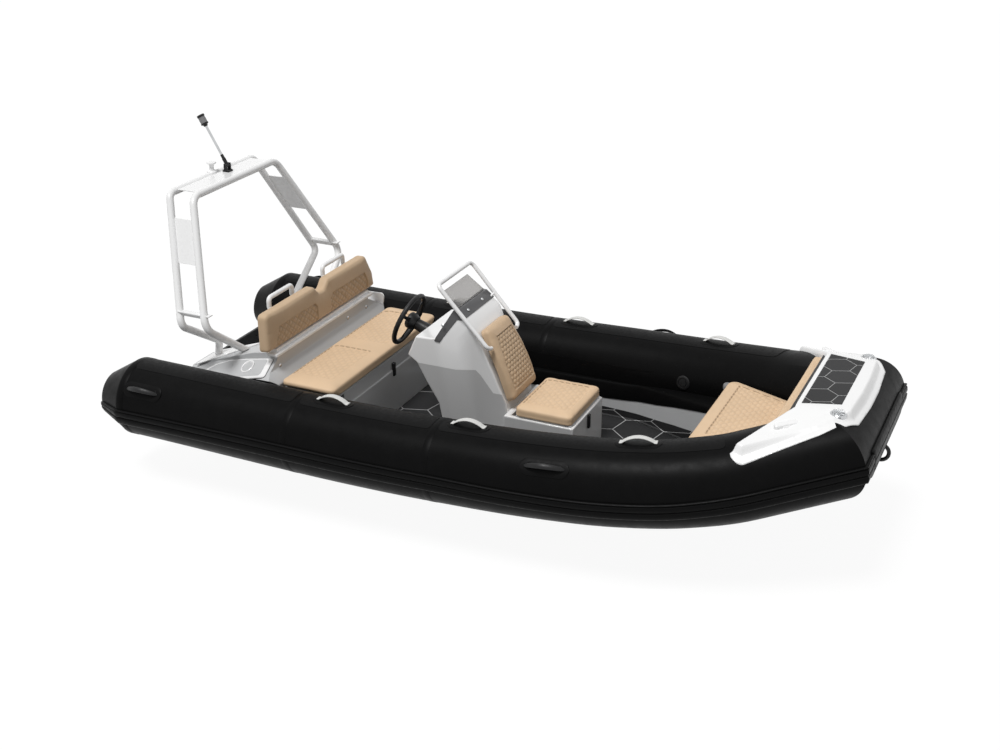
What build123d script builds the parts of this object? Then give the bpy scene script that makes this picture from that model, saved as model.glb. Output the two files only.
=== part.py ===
from build123d import *
import math
import os

os.makedirs("parts", exist_ok=True)

# Frame: +X towards the bow, +Y to port, +Z up, millimetres. X = 0 is the aft face of the
# transom, Y = 0 the centreline and Z = 0 the water the boat floats on.

# ---- driving sizes -------------------------------------------------------------------
TUBE_R = 260.0            # buoyancy tube radius
TUBE_Z = 270.0            # tube centre above the water along the straight run
BENCH_HALF = 690.0        # half length of the aft bench, which fills the beam between the tubes
BENCH_SIDE = 15.0         # the bench's clearance to the tube at each end
BENCH_TOP_Z = 500.0
SEAT_T = 64.0             # cushion thickness
# tube centre from the centreline along the straight run
TUBE_Y = BENCH_HALF + BENCH_SIDE + math.sqrt(TUBE_R ** 2 - (BENCH_TOP_Z - SEAT_T - TUBE_Z) ** 2)
CONE_AFT_X = -430.0       # blunt end of the stern cone
CONE_FWD_X = -215.0       # where the cone meets the tube
CONE_END_R = 150.0
NOSE_X = 4285.0           # centre of the athwartships nose tube
STRAKE_T = 16.0           # rubbing strake thickness
STRAKE_TOP = 2.0          # degrees above the tube's widest point
STRAKE_LOW = -22.0        # degrees below it
FENDER_T = 18.0

FLOOR_Z = 20.0            # top of the hull's cockpit sole
MAT_T = 6.0               # foam mat
KEEL_Z = -290.0
SOLE_HALF = 600.0         # half width of the cockpit sole, and where it narrows to at the bow
SOLE_BOW_HALF = 350.0
SOLE_TURN_X, SOLE_FWD_X = 2800.0, 3465.0
TRANSOM_T = 45.0
WELL_HALF = 390.0         # half width of the motor well
WELL_FWD_X = 470.0
WELL_Z = 150.0            # floor of the motor well
TRANSOM_TOP_Z = 385.0     # for an outboard with a 25 inch shaft

BENCH_AFT_X = 785.0
BENCH_FWD_X = 1200.0
BENCH_FLARE = 45.0        # the bench cushion widens this much above its foot
BACK_HALF = 705.0         # half width of the backrest
BACK_LOW_Z = 653.0        # its lower edge
LID_T = 10.0
SOFT_GAP = 0.3            # cushions sit this far off what they lie on
SEAT_GAP = 0.3            # a lid rests this far off its rim, a shaft off its bush

CONSOLE_HALF = 265.0
CONSOLE_FRONT_HALF = 205.0
JOCKEY_HALF = 270.0
JOCKEY_TOP_Z = 396.0

WHEEL_RIM_R = 176.0       # steering wheel, centre of the rim
WHEEL_GRIP_R = 17.0
WHEEL_X, WHEEL_Z = 1362.0, 757.0
WHEEL_TILT = 22.0         # column above horizontal

ARCH_R = 25.0             # arch tube radius
ARCH_BEND = 95.0
PIVOT = (-65.0, 70.0, 1634.0)      # light mast pivot
MAST_LEAN = 30.0
BOLT_R = 6.5              # outboard bolt holes
BOLT_UP_Z, BOLT_LOW_Z = TRANSOM_TOP_Z - 45, TRANSOM_TOP_Z - 250
BOLT_UP_PITCH, BOLT_LOW_PITCH = 327.0, 251.0


def keep(node, shape):
    shape.label = node
    export_step(shape, f"parts/{node}.step")
    return shape


def both(shape):
    """The piece and its mirror image across the centreline."""
    return Compound(children=[shape, mirror(shape, about=Plane.XZ)])


def slab(x0, x1, y0, y1, z0, z1):
    """A box given by its limits."""
    size = (x1 - x0, y1 - y0, z1 - z0)
    return Pos((x0 + x1) / 2, (y0 + y1) / 2, (z0 + z1) / 2) * Box(*size)


def side_cut(points, y0, y1):
    """A side profile of (x, z) points, carried across the beam from y0 to y1."""
    face = make_face(Polyline(*[(x, y0, z) for x, z in points], close=True))
    return extrude(face, amount=y1 - y0, dir=(0, 1, 0))


def plan_cut(points, z0, z1):
    """A plan outline of (x, y) points, carried up from z0 to z1."""
    face = make_face(Polyline(*[(x, y, z0) for x, y in points], close=True))
    return extrude(face, amount=z1 - z0, dir=(0, 0, 1))


def end_cut(points, x0, x1):
    """An outline of (y, z) points seen from astern, carried forward from x0 to x1."""
    face = make_face(Polyline(*[(x0, y, z) for y, z in points], close=True))
    return extrude(face, amount=x1 - x0, dir=(1, 0, 0))


def bent(points, radius):
    """A path through the points with each corner rounded to the radius."""
    pts = [Vector(*p) for p in points]
    edges, at = [], pts[0]
    for before, corner, after in zip(pts, pts[1:], pts[2:]):
        a, b = (before - corner).normalized(), (after - corner).normalized()
        turn = math.acos(max(-1.0, min(1.0, a.dot(b))))
        back = radius / math.tan(turn / 2)
        start, end = corner + a * back, corner + b * back
        middle = (a + b).normalized()
        centre = corner + middle * (radius / math.sin(turn / 2))
        edges.append(Line(at, start))
        edges.append(ThreePointArc(start, centre - middle * radius, end))
        at = end
    edges.append(Line(at, pts[-1]))
    return Wire(edges)


def rod(points, r, radius):
    """A round bar of radius r bent along the points."""
    path = bent(points, radius)
    return sweep(Plane(path @ 0, z_dir=path % 0) * Circle(r), path=path)


def pin(a, b, r, r2=None):
    """A round bar, or a cone with r2, from a to b."""
    a, b = Vector(*a), Vector(*b)
    length = (b - a).length
    plane = Plane(a, z_dir=b - a)
    body = Cylinder(r, length) if r2 is None else Cone(r, r2, length)
    return plane * Pos(0, 0, length / 2) * body


# ---- buoyancy tubes --------------------------------------------------------------------
# x, and how far the centreline has come in from TUBE_Y and risen above TUBE_Z there
SHEER = [(2050.0, 3.0, 4.0), (2700.0, 25.0, 33.0), (3180.0, 75.0, 66.0), (3560.0, 155.0, 112.0),
         (3880.0, 273.0, 176.0), (NOSE_X, 469.0, 292.0)]
BOW_Y = TUBE_Y - SHEER[-1][1]          # the corner between a side tube and the nose tube
NOSE_Z = TUBE_Z + SHEER[-1][2]
NOSE_TOP = NOSE_Z + TUBE_R
# centreline of the port half, aft to forward; the last point is on the boat's centreline
TUBE_PATH = ([(CONE_FWD_X, TUBE_Y, TUBE_Z)] + [(x, TUBE_Y - y, TUBE_Z + z) for x, y, z in SHEER]
             + [(NOSE_X, 0.0, NOSE_Z)])


def tube_at(x):
    """The tube centre's y and z where it passes x."""
    for (x0, y0, z0), (x1, y1, z1) in zip(TUBE_PATH, TUBE_PATH[1:]):
        if x0 <= x <= x1:
            t = (x - x0) / (x1 - x0)
            return y0 + t * (y1 - y0), z0 + t * (z1 - z0)
    raise ValueError(f"the tube doesn't reach x {x}")


def beside(side):
    return [(x, side * y, z) for x, y, z in TUBE_PATH]


def half_collar(side):
    path = Polyline(*beside(side))
    run = sweep(Plane(path @ 0, z_dir=path % 0) * Circle(TUBE_R), path=path,
                transition=Transition.RIGHT)
    cone = pin((CONE_FWD_X, side * TUBE_Y, TUBE_Z), (CONE_AFT_X, side * TUBE_Y, TUBE_Z - 20),
               TUBE_R, CONE_END_R)
    return run + cone


def turned(v, old, new):
    """The vector v carried by the least rotation that takes direction old to new."""
    axis = old.cross(new)
    if axis.length < 1e-9:
        return v
    turn = math.degrees(math.atan2(axis.length, old.dot(new)))
    return v.rotate(Axis((0, 0, 0), tuple(axis)), turn)


def mitred(points, face, out):
    """A section carried along straight runs that meet on mitres; out points off the boat's side."""
    pts = [Vector(*p) for p in points]
    runs = [(b - a).normalized() for a, b in zip(pts, pts[1:])]
    pieces, across = [], Vector(*out)
    for i, run in enumerate(runs):
        if i:
            across = turned(across, runs[i - 1], run)
        over = 300 if i else 0
        plane = Plane(pts[i] - run * over, x_dir=across, z_dir=run)
        last = i == len(runs) - 1
        length = (pts[i + 1] - pts[i]).length + over + (0 if last else 300)
        piece = extrude(plane * face, amount=length, dir=run)
        if i:
            meet = Plane(pts[i], z_dir=runs[i - 1] + run)
            piece = split(piece, bisect_by=meet, keep=Keep.TOP)
        if not last:
            meet = Plane(pts[i + 1], z_dir=run + runs[i + 1])
            piece = split(piece, bisect_by=meet, keep=Keep.BOTTOM)
        pieces.append(piece)
    whole = pieces[0]
    for piece in pieces[1:]:
        whole = whole + piece
    return whole


def band(side, r0, r1, low, high):
    """The section of a strip outside a tube between two angles, its local x pointing outboard."""
    a, b = math.radians(low), math.radians(high)
    m = (a + b) / 2

    def at(r, t):
        return (r * math.cos(t), -side * r * math.sin(t))

    return make_face([ThreePointArc(at(r1, a), at(r1, m), at(r1, b)), Line(at(r1, b), at(r0, b)),
                      ThreePointArc(at(r0, b), at(r0, m), at(r0, a)), Line(at(r0, a), at(r1, a))])


tubes = {}
for name, side in (("port", 1), ("starboard", -1)):
    tubes[name] = keep(f"tube_{name}", half_collar(side))
collar = [tubes["port"], tubes["starboard"]]

FENDER_HALF = BOW_Y + 4
# rubbing strake down each side, round the stern cone's shoulder and up to the nose corner
for name, side in (("port", 1), ("starboard", -1)):
    section = band(side, TUBE_R, TUBE_R + STRAKE_T, STRAKE_LOW, STRAKE_TOP)
    strake = mitred(beside(side), section, (0, side, 0))
    strake -= slab(NOSE_X - 200, NOSE_X + 400, -FENDER_HALF, FENDER_HALF, 0, 900)
    keep(f"strake_{name}", strake)

# nose fender: a thick flat-faced pad across the nose tube
fender = Pos(NOSE_X, 0, NOSE_Z) * Rot(90, 0, 0) * Cylinder(TUBE_R + FENDER_T, 2 * FENDER_HALF)
fender -= Pos(NOSE_X, 0, NOSE_Z) * Rot(90, 0, 0) * Cylinder(TUBE_R, 2 * FENDER_HALF + 2)
fender &= slab(NOSE_X + 150, NOSE_X + TUBE_R + FENDER_T + 5, -FENDER_HALF, FENDER_HALF,
               NOSE_Z - 90, NOSE_Z + 95)
keep("nose_fender", fender)

# ---- hull: deep V, decked at the cockpit sole, up to the tubes ---------------------------
# station x and keel z, then how far inboard of TUBE_Y and at what z each of these is: the
# chine, the wing under the tube and the coaming
STATIONS = [
    (0.0, KEEL_Z, 205.0, -15.0, 115.0, 130.0, 265.0, 250.0),
    (1600.0, KEEL_Z, 205.0, -5.0, 115.0, 130.0, 265.0, 250.0),
    (2700.0, -270.0, 245.0, 35.0, 145.0, 165.0, 285.0, 270.0),
    (3400.0, -170.0, 345.0, 60.0, 265.0, 215.0, 365.0, 330.0),
    (3900.0, 20.0, 515.0, 220.0, 435.0, 340.0, 505.0, 400.0),
    (4240.0, 250.0, 725.0, 330.0, 665.0, 430.0, 705.0, 460.0),
]


def station(x, keel, cy, cz, wy, wz, ty, tz):
    half = [(TUBE_Y - cy, cz), (TUBE_Y - wy, wz), (TUBE_Y - ty, tz)]
    ring = [(0, keel)] + half + [(-y, z) for y, z in reversed(half)]
    return make_face(Polyline(*[(x, y, z) for y, z in ring], close=True))


hull = loft([station(*row) for row in STATIONS], ruled=True)


def sole_plan(aft, inset):
    """The cockpit sole's outline, drawn in from the hull's sides and bow step by the inset."""
    side, bow, forward = SOLE_HALF - inset, SOLE_BOW_HALF - 10, SOLE_FWD_X - 10
    if not inset:
        bow, forward = SOLE_BOW_HALF, SOLE_FWD_X
    half = [(aft, side), (SOLE_TURN_X - inset, side), (forward, bow)]
    return half + [(x, -y) for x, y in reversed(half)]


def bow_plan(aft_in, aft_y, fwd_in, fwd_y):
    """The bow seat's plan: its aft and forward edges from the sole's end and the nose tube."""
    half = [(SOLE_FWD_X + aft_in, BOW_Y + aft_y), (NOSE_X - fwd_in, BOW_Y + fwd_y)]
    return half + [(x, -y) for x, y in reversed(half)]


bow_box = bow_plan(0, 19, 335, -156)
BOW_BOX_Z = 300.0
hull -= plan_cut(sole_plan(WELL_FWD_X, 0), FLOOR_Z, 600)
hull -= plan_cut(bow_box, BOW_BOX_Z, 600)
hull -= slab(TRANSOM_T, WELL_FWD_X, -WELL_HALF, WELL_HALF, WELL_Z, 600)
hull -= slab(-5, TRANSOM_T + 1, -WELL_HALF, WELL_HALF, TRANSOM_TOP_Z, 600)
for tube in collar:
    hull -= tube
bolts = [(BOLT_UP_Z, BOLT_UP_PITCH), (BOLT_LOW_Z, BOLT_LOW_PITCH)]
PAD_T = 18.0
pad = slab(-PAD_T, 0, -230, 230, TRANSOM_TOP_Z - 310, TRANSOM_TOP_Z)
for z, pitch in bolts:
    for y in (-pitch / 2, pitch / 2):
        hole = Pos(20, y, z) * Rot(0, 90, 0) * Cylinder(BOLT_R, 120)
        hull -= hole
        pad -= hole
keep("hull", hull)
keep("transom_pad", pad)

# ---- stern structure: side decks sloping aft, a pod in each corner and the bench back ------
WING_Z = 250.0            # top of the hull's coaming at the stern
BACK_X = BENCH_AFT_X - 12
POD_Y = 600.0             # the corner pods fall away outboard of this
deck_side = [(20, WING_Z), (20, 428), (510, 595), (640, 619), (696, 619), (703, 525),
             (BACK_X, 452), (BACK_X, WING_Z)]
stern = side_cut(deck_side, 105 - TUBE_Y, TUBE_Y - 105)
stern -= slab(0, WELL_FWD_X, -WELL_HALF, WELL_HALF, 0, 700)
for side in (1, -1):
    above = Plane((670, side * POD_Y, 580), z_dir=(-0.22, side * 0.563, 1))
    above = above * Pos(0, 0, 200) * Box(2400, 2400, 400)
    y0, y1 = sorted((side * POD_Y, side * TUBE_Y))
    stern -= above & slab(0, 800, y0, y1, 300, 800)
for tube in collar:
    stern -= tube
stern += slab(WELL_FWD_X, BACK_X, -SOLE_HALF, SOLE_HALF, FLOOR_Z, WING_Z + 5)
keep("stern_deck", stern)

# ---- aft bench ----------------------------------------------------------------------------
bench_lid_z = BENCH_TOP_Z - SEAT_T - SOFT_GAP - LID_T
bench_rim_z = bench_lid_z - SEAT_GAP
front_foot = BENCH_FWD_X + 11
LOCKER_HALF = BENCH_HALF - 94
locker = side_cut([(BACK_X, FLOOR_Z), (BACK_X, bench_rim_z), (BENCH_FWD_X - 8, bench_rim_z),
                   (BENCH_FWD_X - 5, 338), (BENCH_FWD_X + 2, 330), (front_foot, FLOOR_Z)],
                  -LOCKER_HALF, LOCKER_HALF)
bench_hollow = (BACK_X + 30, BENCH_FWD_X - 45, 36 - LOCKER_HALF, LOCKER_HALF - 36, FLOOR_Z + 30)
x0, x1, y0, y1, z0 = bench_hollow
locker -= slab(x0, x1, y0, y1, z0, 600)
keep("aft_locker", locker)
keep("aft_seat_lid", slab(BENCH_AFT_X + 12, BENCH_FWD_X - 8, 14 - BENCH_HALF, BENCH_HALF - 14,
                          bench_lid_z, bench_lid_z + LID_T))
seat_half = [(BENCH_HALF, BENCH_TOP_Z - SEAT_T), (BENCH_HALF + BENCH_FLARE, BENCH_TOP_Z - 28),
             (BENCH_HALF + BENCH_FLARE, BENCH_TOP_Z)]
seat = end_cut(seat_half + [(-y, z) for y, z in reversed(seat_half)], BENCH_AFT_X, BENCH_FWD_X)
keep("aft_seat_cushion", fillet(seat.edges().filter_by(Axis.Z), 34))
catch = slab(BENCH_FWD_X - 12, BENCH_FWD_X + 14, 36, 64, bench_rim_z - 135, bench_rim_z - 38)
keep("aft_seat_latch", catch - locker)

back_side = [(700, BACK_LOW_Z), (690, 906), (676, 921), (628, 921), (614, 907),
             (626, BACK_LOW_Z)]
back = side_cut(back_side, -BACK_HALF, BACK_HALF)
back -= end_cut([(-92, 950), (-80, 900), (-32, 842), (32, 842), (80, 900), (92, 950)], 500, 800)
keep("aft_backrest", back)
rail_half = BACK_HALF - 100
keep("backrest_rail", slab(628, 699, -rail_half, rail_half, 619, BACK_LOW_Z - SOFT_GAP))
loops = [rod([(624, y0, 838), (574, y0, 880), (574, y0, 948), (574, y1, 948), (574, y1, 880),
              (624, y1, 838)], 16, 26) for y0, y1 in ((-475, -200), (200, 475))]
keep("backrest_handles", Compound(children=[loop - back for loop in loops]))

# ---- arch: two hoops, plates and feet ------------------------------------------------------
ARCH_TOP_Z = 1575.0
deck_slope = (595 - 428) / (510 - 20)


def deck_z(x):
    return 428 + deck_slope * (x - 20)


FOOT_T = 8.0
foot_plate = side_cut([(40, deck_z(40)), (470, deck_z(470)), (470, deck_z(470) + FOOT_T),
                       (40, deck_z(40) + FOOT_T)], 392, 700)
foot_plate &= plan_cut([(62, 395), (62, 655), (123, 626), (268, 524), (415, 420), (432, 395)],
                       300, 700)
keep("arch_feet", both(foot_plate))
fore = [(388, -446, 508), (326, -852, 821), (46, -487, ARCH_TOP_Z)]
aft = [(138, -490, 440), (151, -482, 575), (127, -842, 807), (-140, -487, ARCH_TOP_Z)]
below = side_cut([(0, deck_z(0) - 200), (560, deck_z(560) - 200), (560, deck_z(560) + FOOT_T),
                  (0, deck_z(0) + FOOT_T)], -700, 700)
hoops = []
for name, half in (("forward", fore), ("aft", aft)):
    points = half + [(x, -y, z) for x, y, z in reversed(half)]
    hoop = rod(points, ARCH_R, ARCH_BEND if name == "forward" else 60.0) - below
    hoops.append(hoop)
    keep(f"arch_hoop_{name}", hoop)

PLATE_LOW, PLATE_HIGH = 1176.0, 1437.0


def leg(half, z):
    """Where a hoop's upper leg is at a height."""
    (x0, y0, z0), (x1, y1, z1) = half[-2:]
    t = (z - z0) / (z1 - z0)
    return x0 + t * (x1 - x0), y0 + t * (y1 - y0)


corners = []
for half, z in ((fore, PLATE_LOW), (aft, PLATE_LOW), (aft, PLATE_HIGH), (fore, PLATE_HIGH)):
    corners.append((leg(half, z)[0], leg(aft, z)[1], z))
side_plate = extrude(make_face(Polyline(*corners, close=True)), amount=3, both=True)
bracket = slab(100, 345, -832, -786, 898, 904) + slab(110, 296, -812, -800, 872, 900)
for hoop in hoops:
    side_plate -= hoop
    bracket -= hoop
keep("arch_side_plates", both(max(side_plate.solids(), key=lambda s: s.volume)))
keep("arch_brackets", both(bracket))
TOP_RISE, TOP_T = 9.0, 6.0     # the top plate lies between the hoops' bars, above their middles
reach = math.sqrt(ARCH_R ** 2 - TOP_RISE ** 2) + 0.2
deck = ARCH_TOP_Z + TOP_RISE + TOP_T
keep("arch_top_plate", slab(aft[-1][0] + reach, fore[-1][0] - reach, -425, 425, deck - TOP_T, deck))
bx = aft[-1][0] - 5
bollard = (pin((bx, 0, deck), (bx, 0, deck + 16), 36) + pin((bx, 0, deck + 16), (bx, 0, deck + 62), 15)
           + pin((bx, 0, deck + 62), (bx, 0, deck + 76), 34))
keep("tow_bollard", bollard - hoops[1])
px, py, pz = PIVOT
base = slab(px - 26, px + 26, py - 26, py + 26, deck, deck + 14)
for y in (py - 26, py + 18):
    base += slab(px - 14, px + 14, y, y + 8, deck + 14, pz + 14)
keep("light_base", base)
lean = math.radians(MAST_LEAN)


def up_mast(t):
    return (px - t * math.sin(lean), py, pz + t * math.cos(lean))


CHEEK = 18.0
mast = pin((px, py - CHEEK + SEAT_GAP, pz), (px, py + CHEEK - SEAT_GAP, pz), 11)
mast += pin(up_mast(0), up_mast(75), 10) + pin(up_mast(70), up_mast(300), 6.5)
keep("light_mast", mast)
keep("light_head", pin(up_mast(300), up_mast(316), 15, 26) + pin(up_mast(316), up_mast(372), 25)
     + pin(up_mast(372), up_mast(380), 27))

# ---- console, screen, rail and helm --------------------------------------------------------
console_side = [(1745, FLOOR_Z), (1730, 221), (1710, 318), (1622, 457), (1552, 581), (1488, 624),
                (1550, 766), (1680, 772), (1714, 784), (1812, 966), (1832, 966), (1940, 868),
                (2171, 372), (2180, 316), (2180, FLOOR_Z)]


def pod(grow):
    """What trims the console: narrower towards the bow and above the dash."""
    c, f = CONSOLE_HALF + grow, CONSOLE_FRONT_HALF + grow
    plan = plan_cut([(1400, -c), (1840, -c), (1990, -f), (2300, -f), (2300, f), (1990, f),
                     (1840, c), (1400, c)], 0, 1200)
    cheek = end_cut([(-c, 0), (c, 0), (c, 784), (214 + grow, 966), (190 + grow, 1050),
                     (-190 - grow, 1050), (-214 - grow, 966), (-c, 784)], 1400, 2300)
    return plan & cheek


console = side_cut(console_side, -CONSOLE_HALF, CONSOLE_HALF) & pod(0)
keep("console", console)
strap = side_cut([(1688, 758), (1726, 752), (1838, 916), (1880, 916), (1886, 924), (1838, 972),
                  (1806, 972), (1700, 785)], -300, 300) & pod(5)
strap -= console
keep("screen_bracket", max(strap.solids(), key=lambda s: s.volume))
pane = side_cut([(1816, 972), (1822, 975), (1718, 1077), (1713, 1073)], -214, 214)
pane &= end_cut([(-212, 960), (212, 960), (168, 1080), (-168, 1080)], 1600, 1900)
keep("windscreen", pane - console)
rail_half = [(2062, -195, 745), (2062, -238, 752), (1709, -247, 1137)]
rail = rod(rail_half + [(x, -y, z) for x, y, z in reversed(rail_half)], 14, 36)
stub = pin((1884, -242, 948), (1852, -150, 905), 8)
rail = rail + stub + mirror(stub, about=Plane.XZ)
keep("grab_rail", rail - console - strap)
cush = [(2012, 855), (2225, 397), (2168, 372), (1957, 829)]
front_pad = side_cut([(x + SOFT_GAP + 1, z) for x, z in cush], -196, 196)
front_pad &= end_cut([(-198, 300), (198, 300), (166, 900), (-166, 900)], 1900, 2400)
keep("console_cushion", front_pad - console)

tilt = math.radians(WHEEL_TILT)


def on_column(t, side=0.0):
    """A point t forward of the wheel's centre down the steering column."""
    return (WHEEL_X + t * math.cos(tilt), side, WHEEL_Z - t * math.sin(tilt))


HUB_L = 44.0
helm = pin(on_column(HUB_L + SEAT_GAP), on_column(190), 36, 48)
keep("helm", helm - console)
column = Plane(on_column(0), x_dir=(0, 1, 0), z_dir=(-math.cos(tilt), 0, math.sin(tilt)))
wheel = column * Torus(WHEEL_RIM_R, WHEEL_GRIP_R)
wheel += column * Pos(0, 0, -HUB_L / 2) * Cylinder(52, HUB_L)
for turn in (90, 210, 330):
    wheel += column * Rot(0, 0, turn) * Pos(WHEEL_RIM_R / 2 + 10, 0, -10) * Box(WHEEL_RIM_R - 24, 26, 9)
keep("steering_wheel", wheel)

# ---- jockey seat ----------------------------------------------------------------------------
jockey_lid_z = JOCKEY_TOP_Z - SEAT_T - SOFT_GAP - LID_T
jockey_rim_z = jockey_lid_z - SEAT_GAP
JOCKEY_AFT_X, JOCKEY_FWD_X = 2181.0, 2662.0
box = slab(JOCKEY_AFT_X, JOCKEY_FWD_X, -JOCKEY_HALF, JOCKEY_HALF, FLOOR_Z, jockey_rim_z)
jockey_hollow = (JOCKEY_AFT_X + 40, JOCKEY_FWD_X - 30, -235.0, 235.0, FLOOR_Z + 30)
x0, x1, y0, y1, z0 = jockey_hollow
box -= slab(x0, x1, y0, y1, z0, 600)
keep("jockey_box", box)
keep("jockey_lid", slab(2262, 2644, -256, 256, jockey_lid_z, jockey_lid_z + LID_T))
seat = slab(2250, 2656, -275, 275, JOCKEY_TOP_Z - SEAT_T, JOCKEY_TOP_Z)
keep("jockey_cushion", fillet(seat.edges().filter_by(Axis.Z), 38))
keep("jockey_latch", slab(JOCKEY_FWD_X, JOCKEY_FWD_X + 16, -13, 13, jockey_rim_z - 108,
                          jockey_rim_z - 10))

# ---- bow seat, cover and fittings ------------------------------------------------------------
BOW_TOP_Z = 516.0
bow_lid_z = BOW_TOP_Z - SEAT_T - SOFT_GAP - LID_T
bow_rim_z = bow_lid_z - SEAT_GAP
bow_locker = plan_cut(bow_box, BOW_BOX_Z, bow_rim_z)
bow_hollow = (SOLE_FWD_X + 35, NOSE_X - 385, 171 - BOW_Y, BOW_Y - 171, BOW_BOX_Z + 12)
x0, x1, y0, y1, z0 = bow_hollow
bow_locker -= slab(x0, x1, y0, y1, z0, 600)
keep("bow_locker", bow_locker)
keep("bow_seat_lid", plan_cut(bow_plan(19, 34, 365, -136), bow_lid_z, bow_lid_z + LID_T))
keep("bow_cushion", plan_cut(bow_plan(9, 58, 312, -146), BOW_TOP_Z - SEAT_T, BOW_TOP_Z))
half_pad = [(BOW_Y + y, z) for y, z in ((-136, BOW_TOP_Z + 14), (-96, NOSE_TOP - 202),
                                        (64, NOSE_TOP - 57), (64, NOSE_TOP - 47))]
bow_pad = end_cut(half_pad + [(-y, z) for y, z in reversed(half_pad)], NOSE_X - 300, NOSE_X - 254)
for tube in collar:
    bow_pad -= tube
keep("bow_backpad", bow_pad)

# plan outline of half the cover, its side profile and half its section, from the nose tube
rim = [(NOSE_X + x, BOW_Y + y) for x, y in ((168, -316), (150, -90), (113, 4), (-380, 386),
                                            (-445, 382), (-473, 334), (-360, 111), (-253, 64))]
profile = [(NOSE_X + x, NOSE_TOP + z) for x, z in ((-585, -322), (-585, -132), (-473, -118),
           (-285, -40), (-253, -30), (-233, 8), (-174, 22), (45, 30), (95, -2), (168, -36),
           (172, -322))]
section = [(BOW_Y + y, NOSE_TOP + z) for y, z in ((394, -322), (394, -222), (386, -167),
           (329, -116), (164, -47), (-8, 4), (-56, 36))]
cover = plan_cut(rim + [(x, -y) for x, y in reversed(rim)], NOSE_TOP - 322, NOSE_TOP + 78)
cover &= side_cut(profile, -BOW_Y - 464, BOW_Y + 464)
cover &= end_cut(section + [(-y, z) for y, z in reversed(section)], NOSE_X - 585, NOSE_X + 215)
for tube in collar:
    cover -= tube
cover = max(cover.solids(), key=lambda s: s.volume)
keep("bow_cover", cover)
step_aft, step_fwd = NOSE_X - 180, NOSE_X + 38
step = side_cut([(step_aft, NOSE_TOP + 12), (step_fwd, NOSE_TOP + 12),
                 (step_fwd, NOSE_TOP + 34), (step_aft, NOSE_TOP + 26)], -BOW_Y, BOW_Y)
step &= plan_cut([(step_aft, 52 - BOW_Y), (step_aft, BOW_Y - 52), (step_fwd, BOW_Y - 106),
                  (step_fwd, 106 - BOW_Y)], NOSE_TOP - 22, NOSE_TOP + 78)
keep("bow_step_mat", max((step - cover).solids(), key=lambda s: s.volume))
lamp_x, lamp_y = NOSE_X + 41, BOW_Y - 12
lamp = pin((lamp_x, lamp_y, NOSE_TOP - 22), (lamp_x, lamp_y, NOSE_TOP + 24), 48)
lamp = lamp - cover - tubes["port"]
lamp = max(lamp.solids(), key=lambda s: s.volume)
keep("bow_lamps", both(lamp))
cleat = slab(NOSE_X - 293, NOSE_X - 145, BOW_Y + 118, BOW_Y + 158, NOSE_TOP - 62, NOSE_TOP - 18)
cleat -= cover
keep("bow_cleats", both(max(cleat.solids(), key=lambda s: s.volume)))
RING_X, RING_Z, RING_R, RING_BAR = NOSE_X + TUBE_R - 23, NOSE_Z - 124, 50.0, 12.0
ring = Pos(RING_X, 0, RING_Z) * Rot(90, 0, 0) * Torus(RING_R, RING_BAR)
for piece in (*collar, fender):
    ring -= piece
keep("tow_ring", max(ring.solids(), key=lambda s: s.volume))

# ---- tube fittings ----------------------------------------------------------------------------
straps = []
for x in (1306.0, 2250.0, 3311.0):
    y, z = tube_at(x)
    top = z + TUBE_R
    outer = [(x - 105, top - 6), (x - 60, top + 26), (x, top + 42), (x + 60, top + 26),
             (x + 105, top - 6)]
    inner = [(x + 97, top - 8), (x + 56, top + 21), (x, top + 37), (x - 56, top + 21),
             (x - 97, top - 8)]
    strap_bar = side_cut(outer + inner, y - 17, y + 17)
    straps.append(strap_bar)
grips = []
for x, t in ((27.0, math.radians(38)), (2831.0, math.radians(38))):
    y, z = tube_at(x)
    out = Plane((x, y + TUBE_R * math.cos(t), z + TUBE_R * math.sin(t)), x_dir=(1, 0, 0),
                z_dir=(0, math.cos(t), math.sin(t)))
    patch = out * Box(225, 92, 24)
    grips.append(fillet(patch.edges().filter_by(Axis(out.origin, out.z_dir)), 40))
for name, side in (("port", 1), ("starboard", -1)):
    tube = tubes[name]
    for kind, pieces in (("handles", straps), ("grips", grips)):
        made = []
        for piece in pieces:
            piece = piece if side == 1 else mirror(piece, about=Plane.XZ)
            left = (piece - tube).solids()
            made.append(max(left, key=lambda s: s.volume))
        keep(f"tube_{kind}_{name}", Compound(children=made))
mat = plan_cut(sole_plan(front_foot + 4, 15), FLOOR_Z, FLOOR_Z + MAT_T)
mat -= slab(1740, JOCKEY_FWD_X + 2, -JOCKEY_HALF - 2, JOCKEY_HALF + 2, 0, 100)
keep("floor_mat", mat)
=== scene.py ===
"""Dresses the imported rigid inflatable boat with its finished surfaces, and lights it in a studio.

Metres, +X towards the bow, +Y to port, +Z up. Every surface is worked out from two parameters
on a grid, or from a section carried along a path, and sits in its final place.
"""

import math

import bmesh
import bpy
import numpy as np
from bpy.props import FloatProperty, FloatVectorProperty, IntProperty, PointerProperty
from mathutils import Euler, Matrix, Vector
from mathutils.geometry import delaunay_2d_cdt


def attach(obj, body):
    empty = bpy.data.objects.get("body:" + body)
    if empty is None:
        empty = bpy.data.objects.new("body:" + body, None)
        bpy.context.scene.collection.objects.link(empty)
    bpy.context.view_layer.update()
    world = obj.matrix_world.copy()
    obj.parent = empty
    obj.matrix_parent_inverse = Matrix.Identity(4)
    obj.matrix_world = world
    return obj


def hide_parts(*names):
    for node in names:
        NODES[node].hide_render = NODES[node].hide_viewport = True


bl_info = {
    "name": "Rigid inflatable boat",
    "version": (1, 0, 0),
    "blender": (4, 5, 0),
    "location": "3D View > Sidebar > Boat",
    "description": "Builds the boat's tubes, seats, console, arch and fittings round its frame",
    "category": "Object",
}

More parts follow.
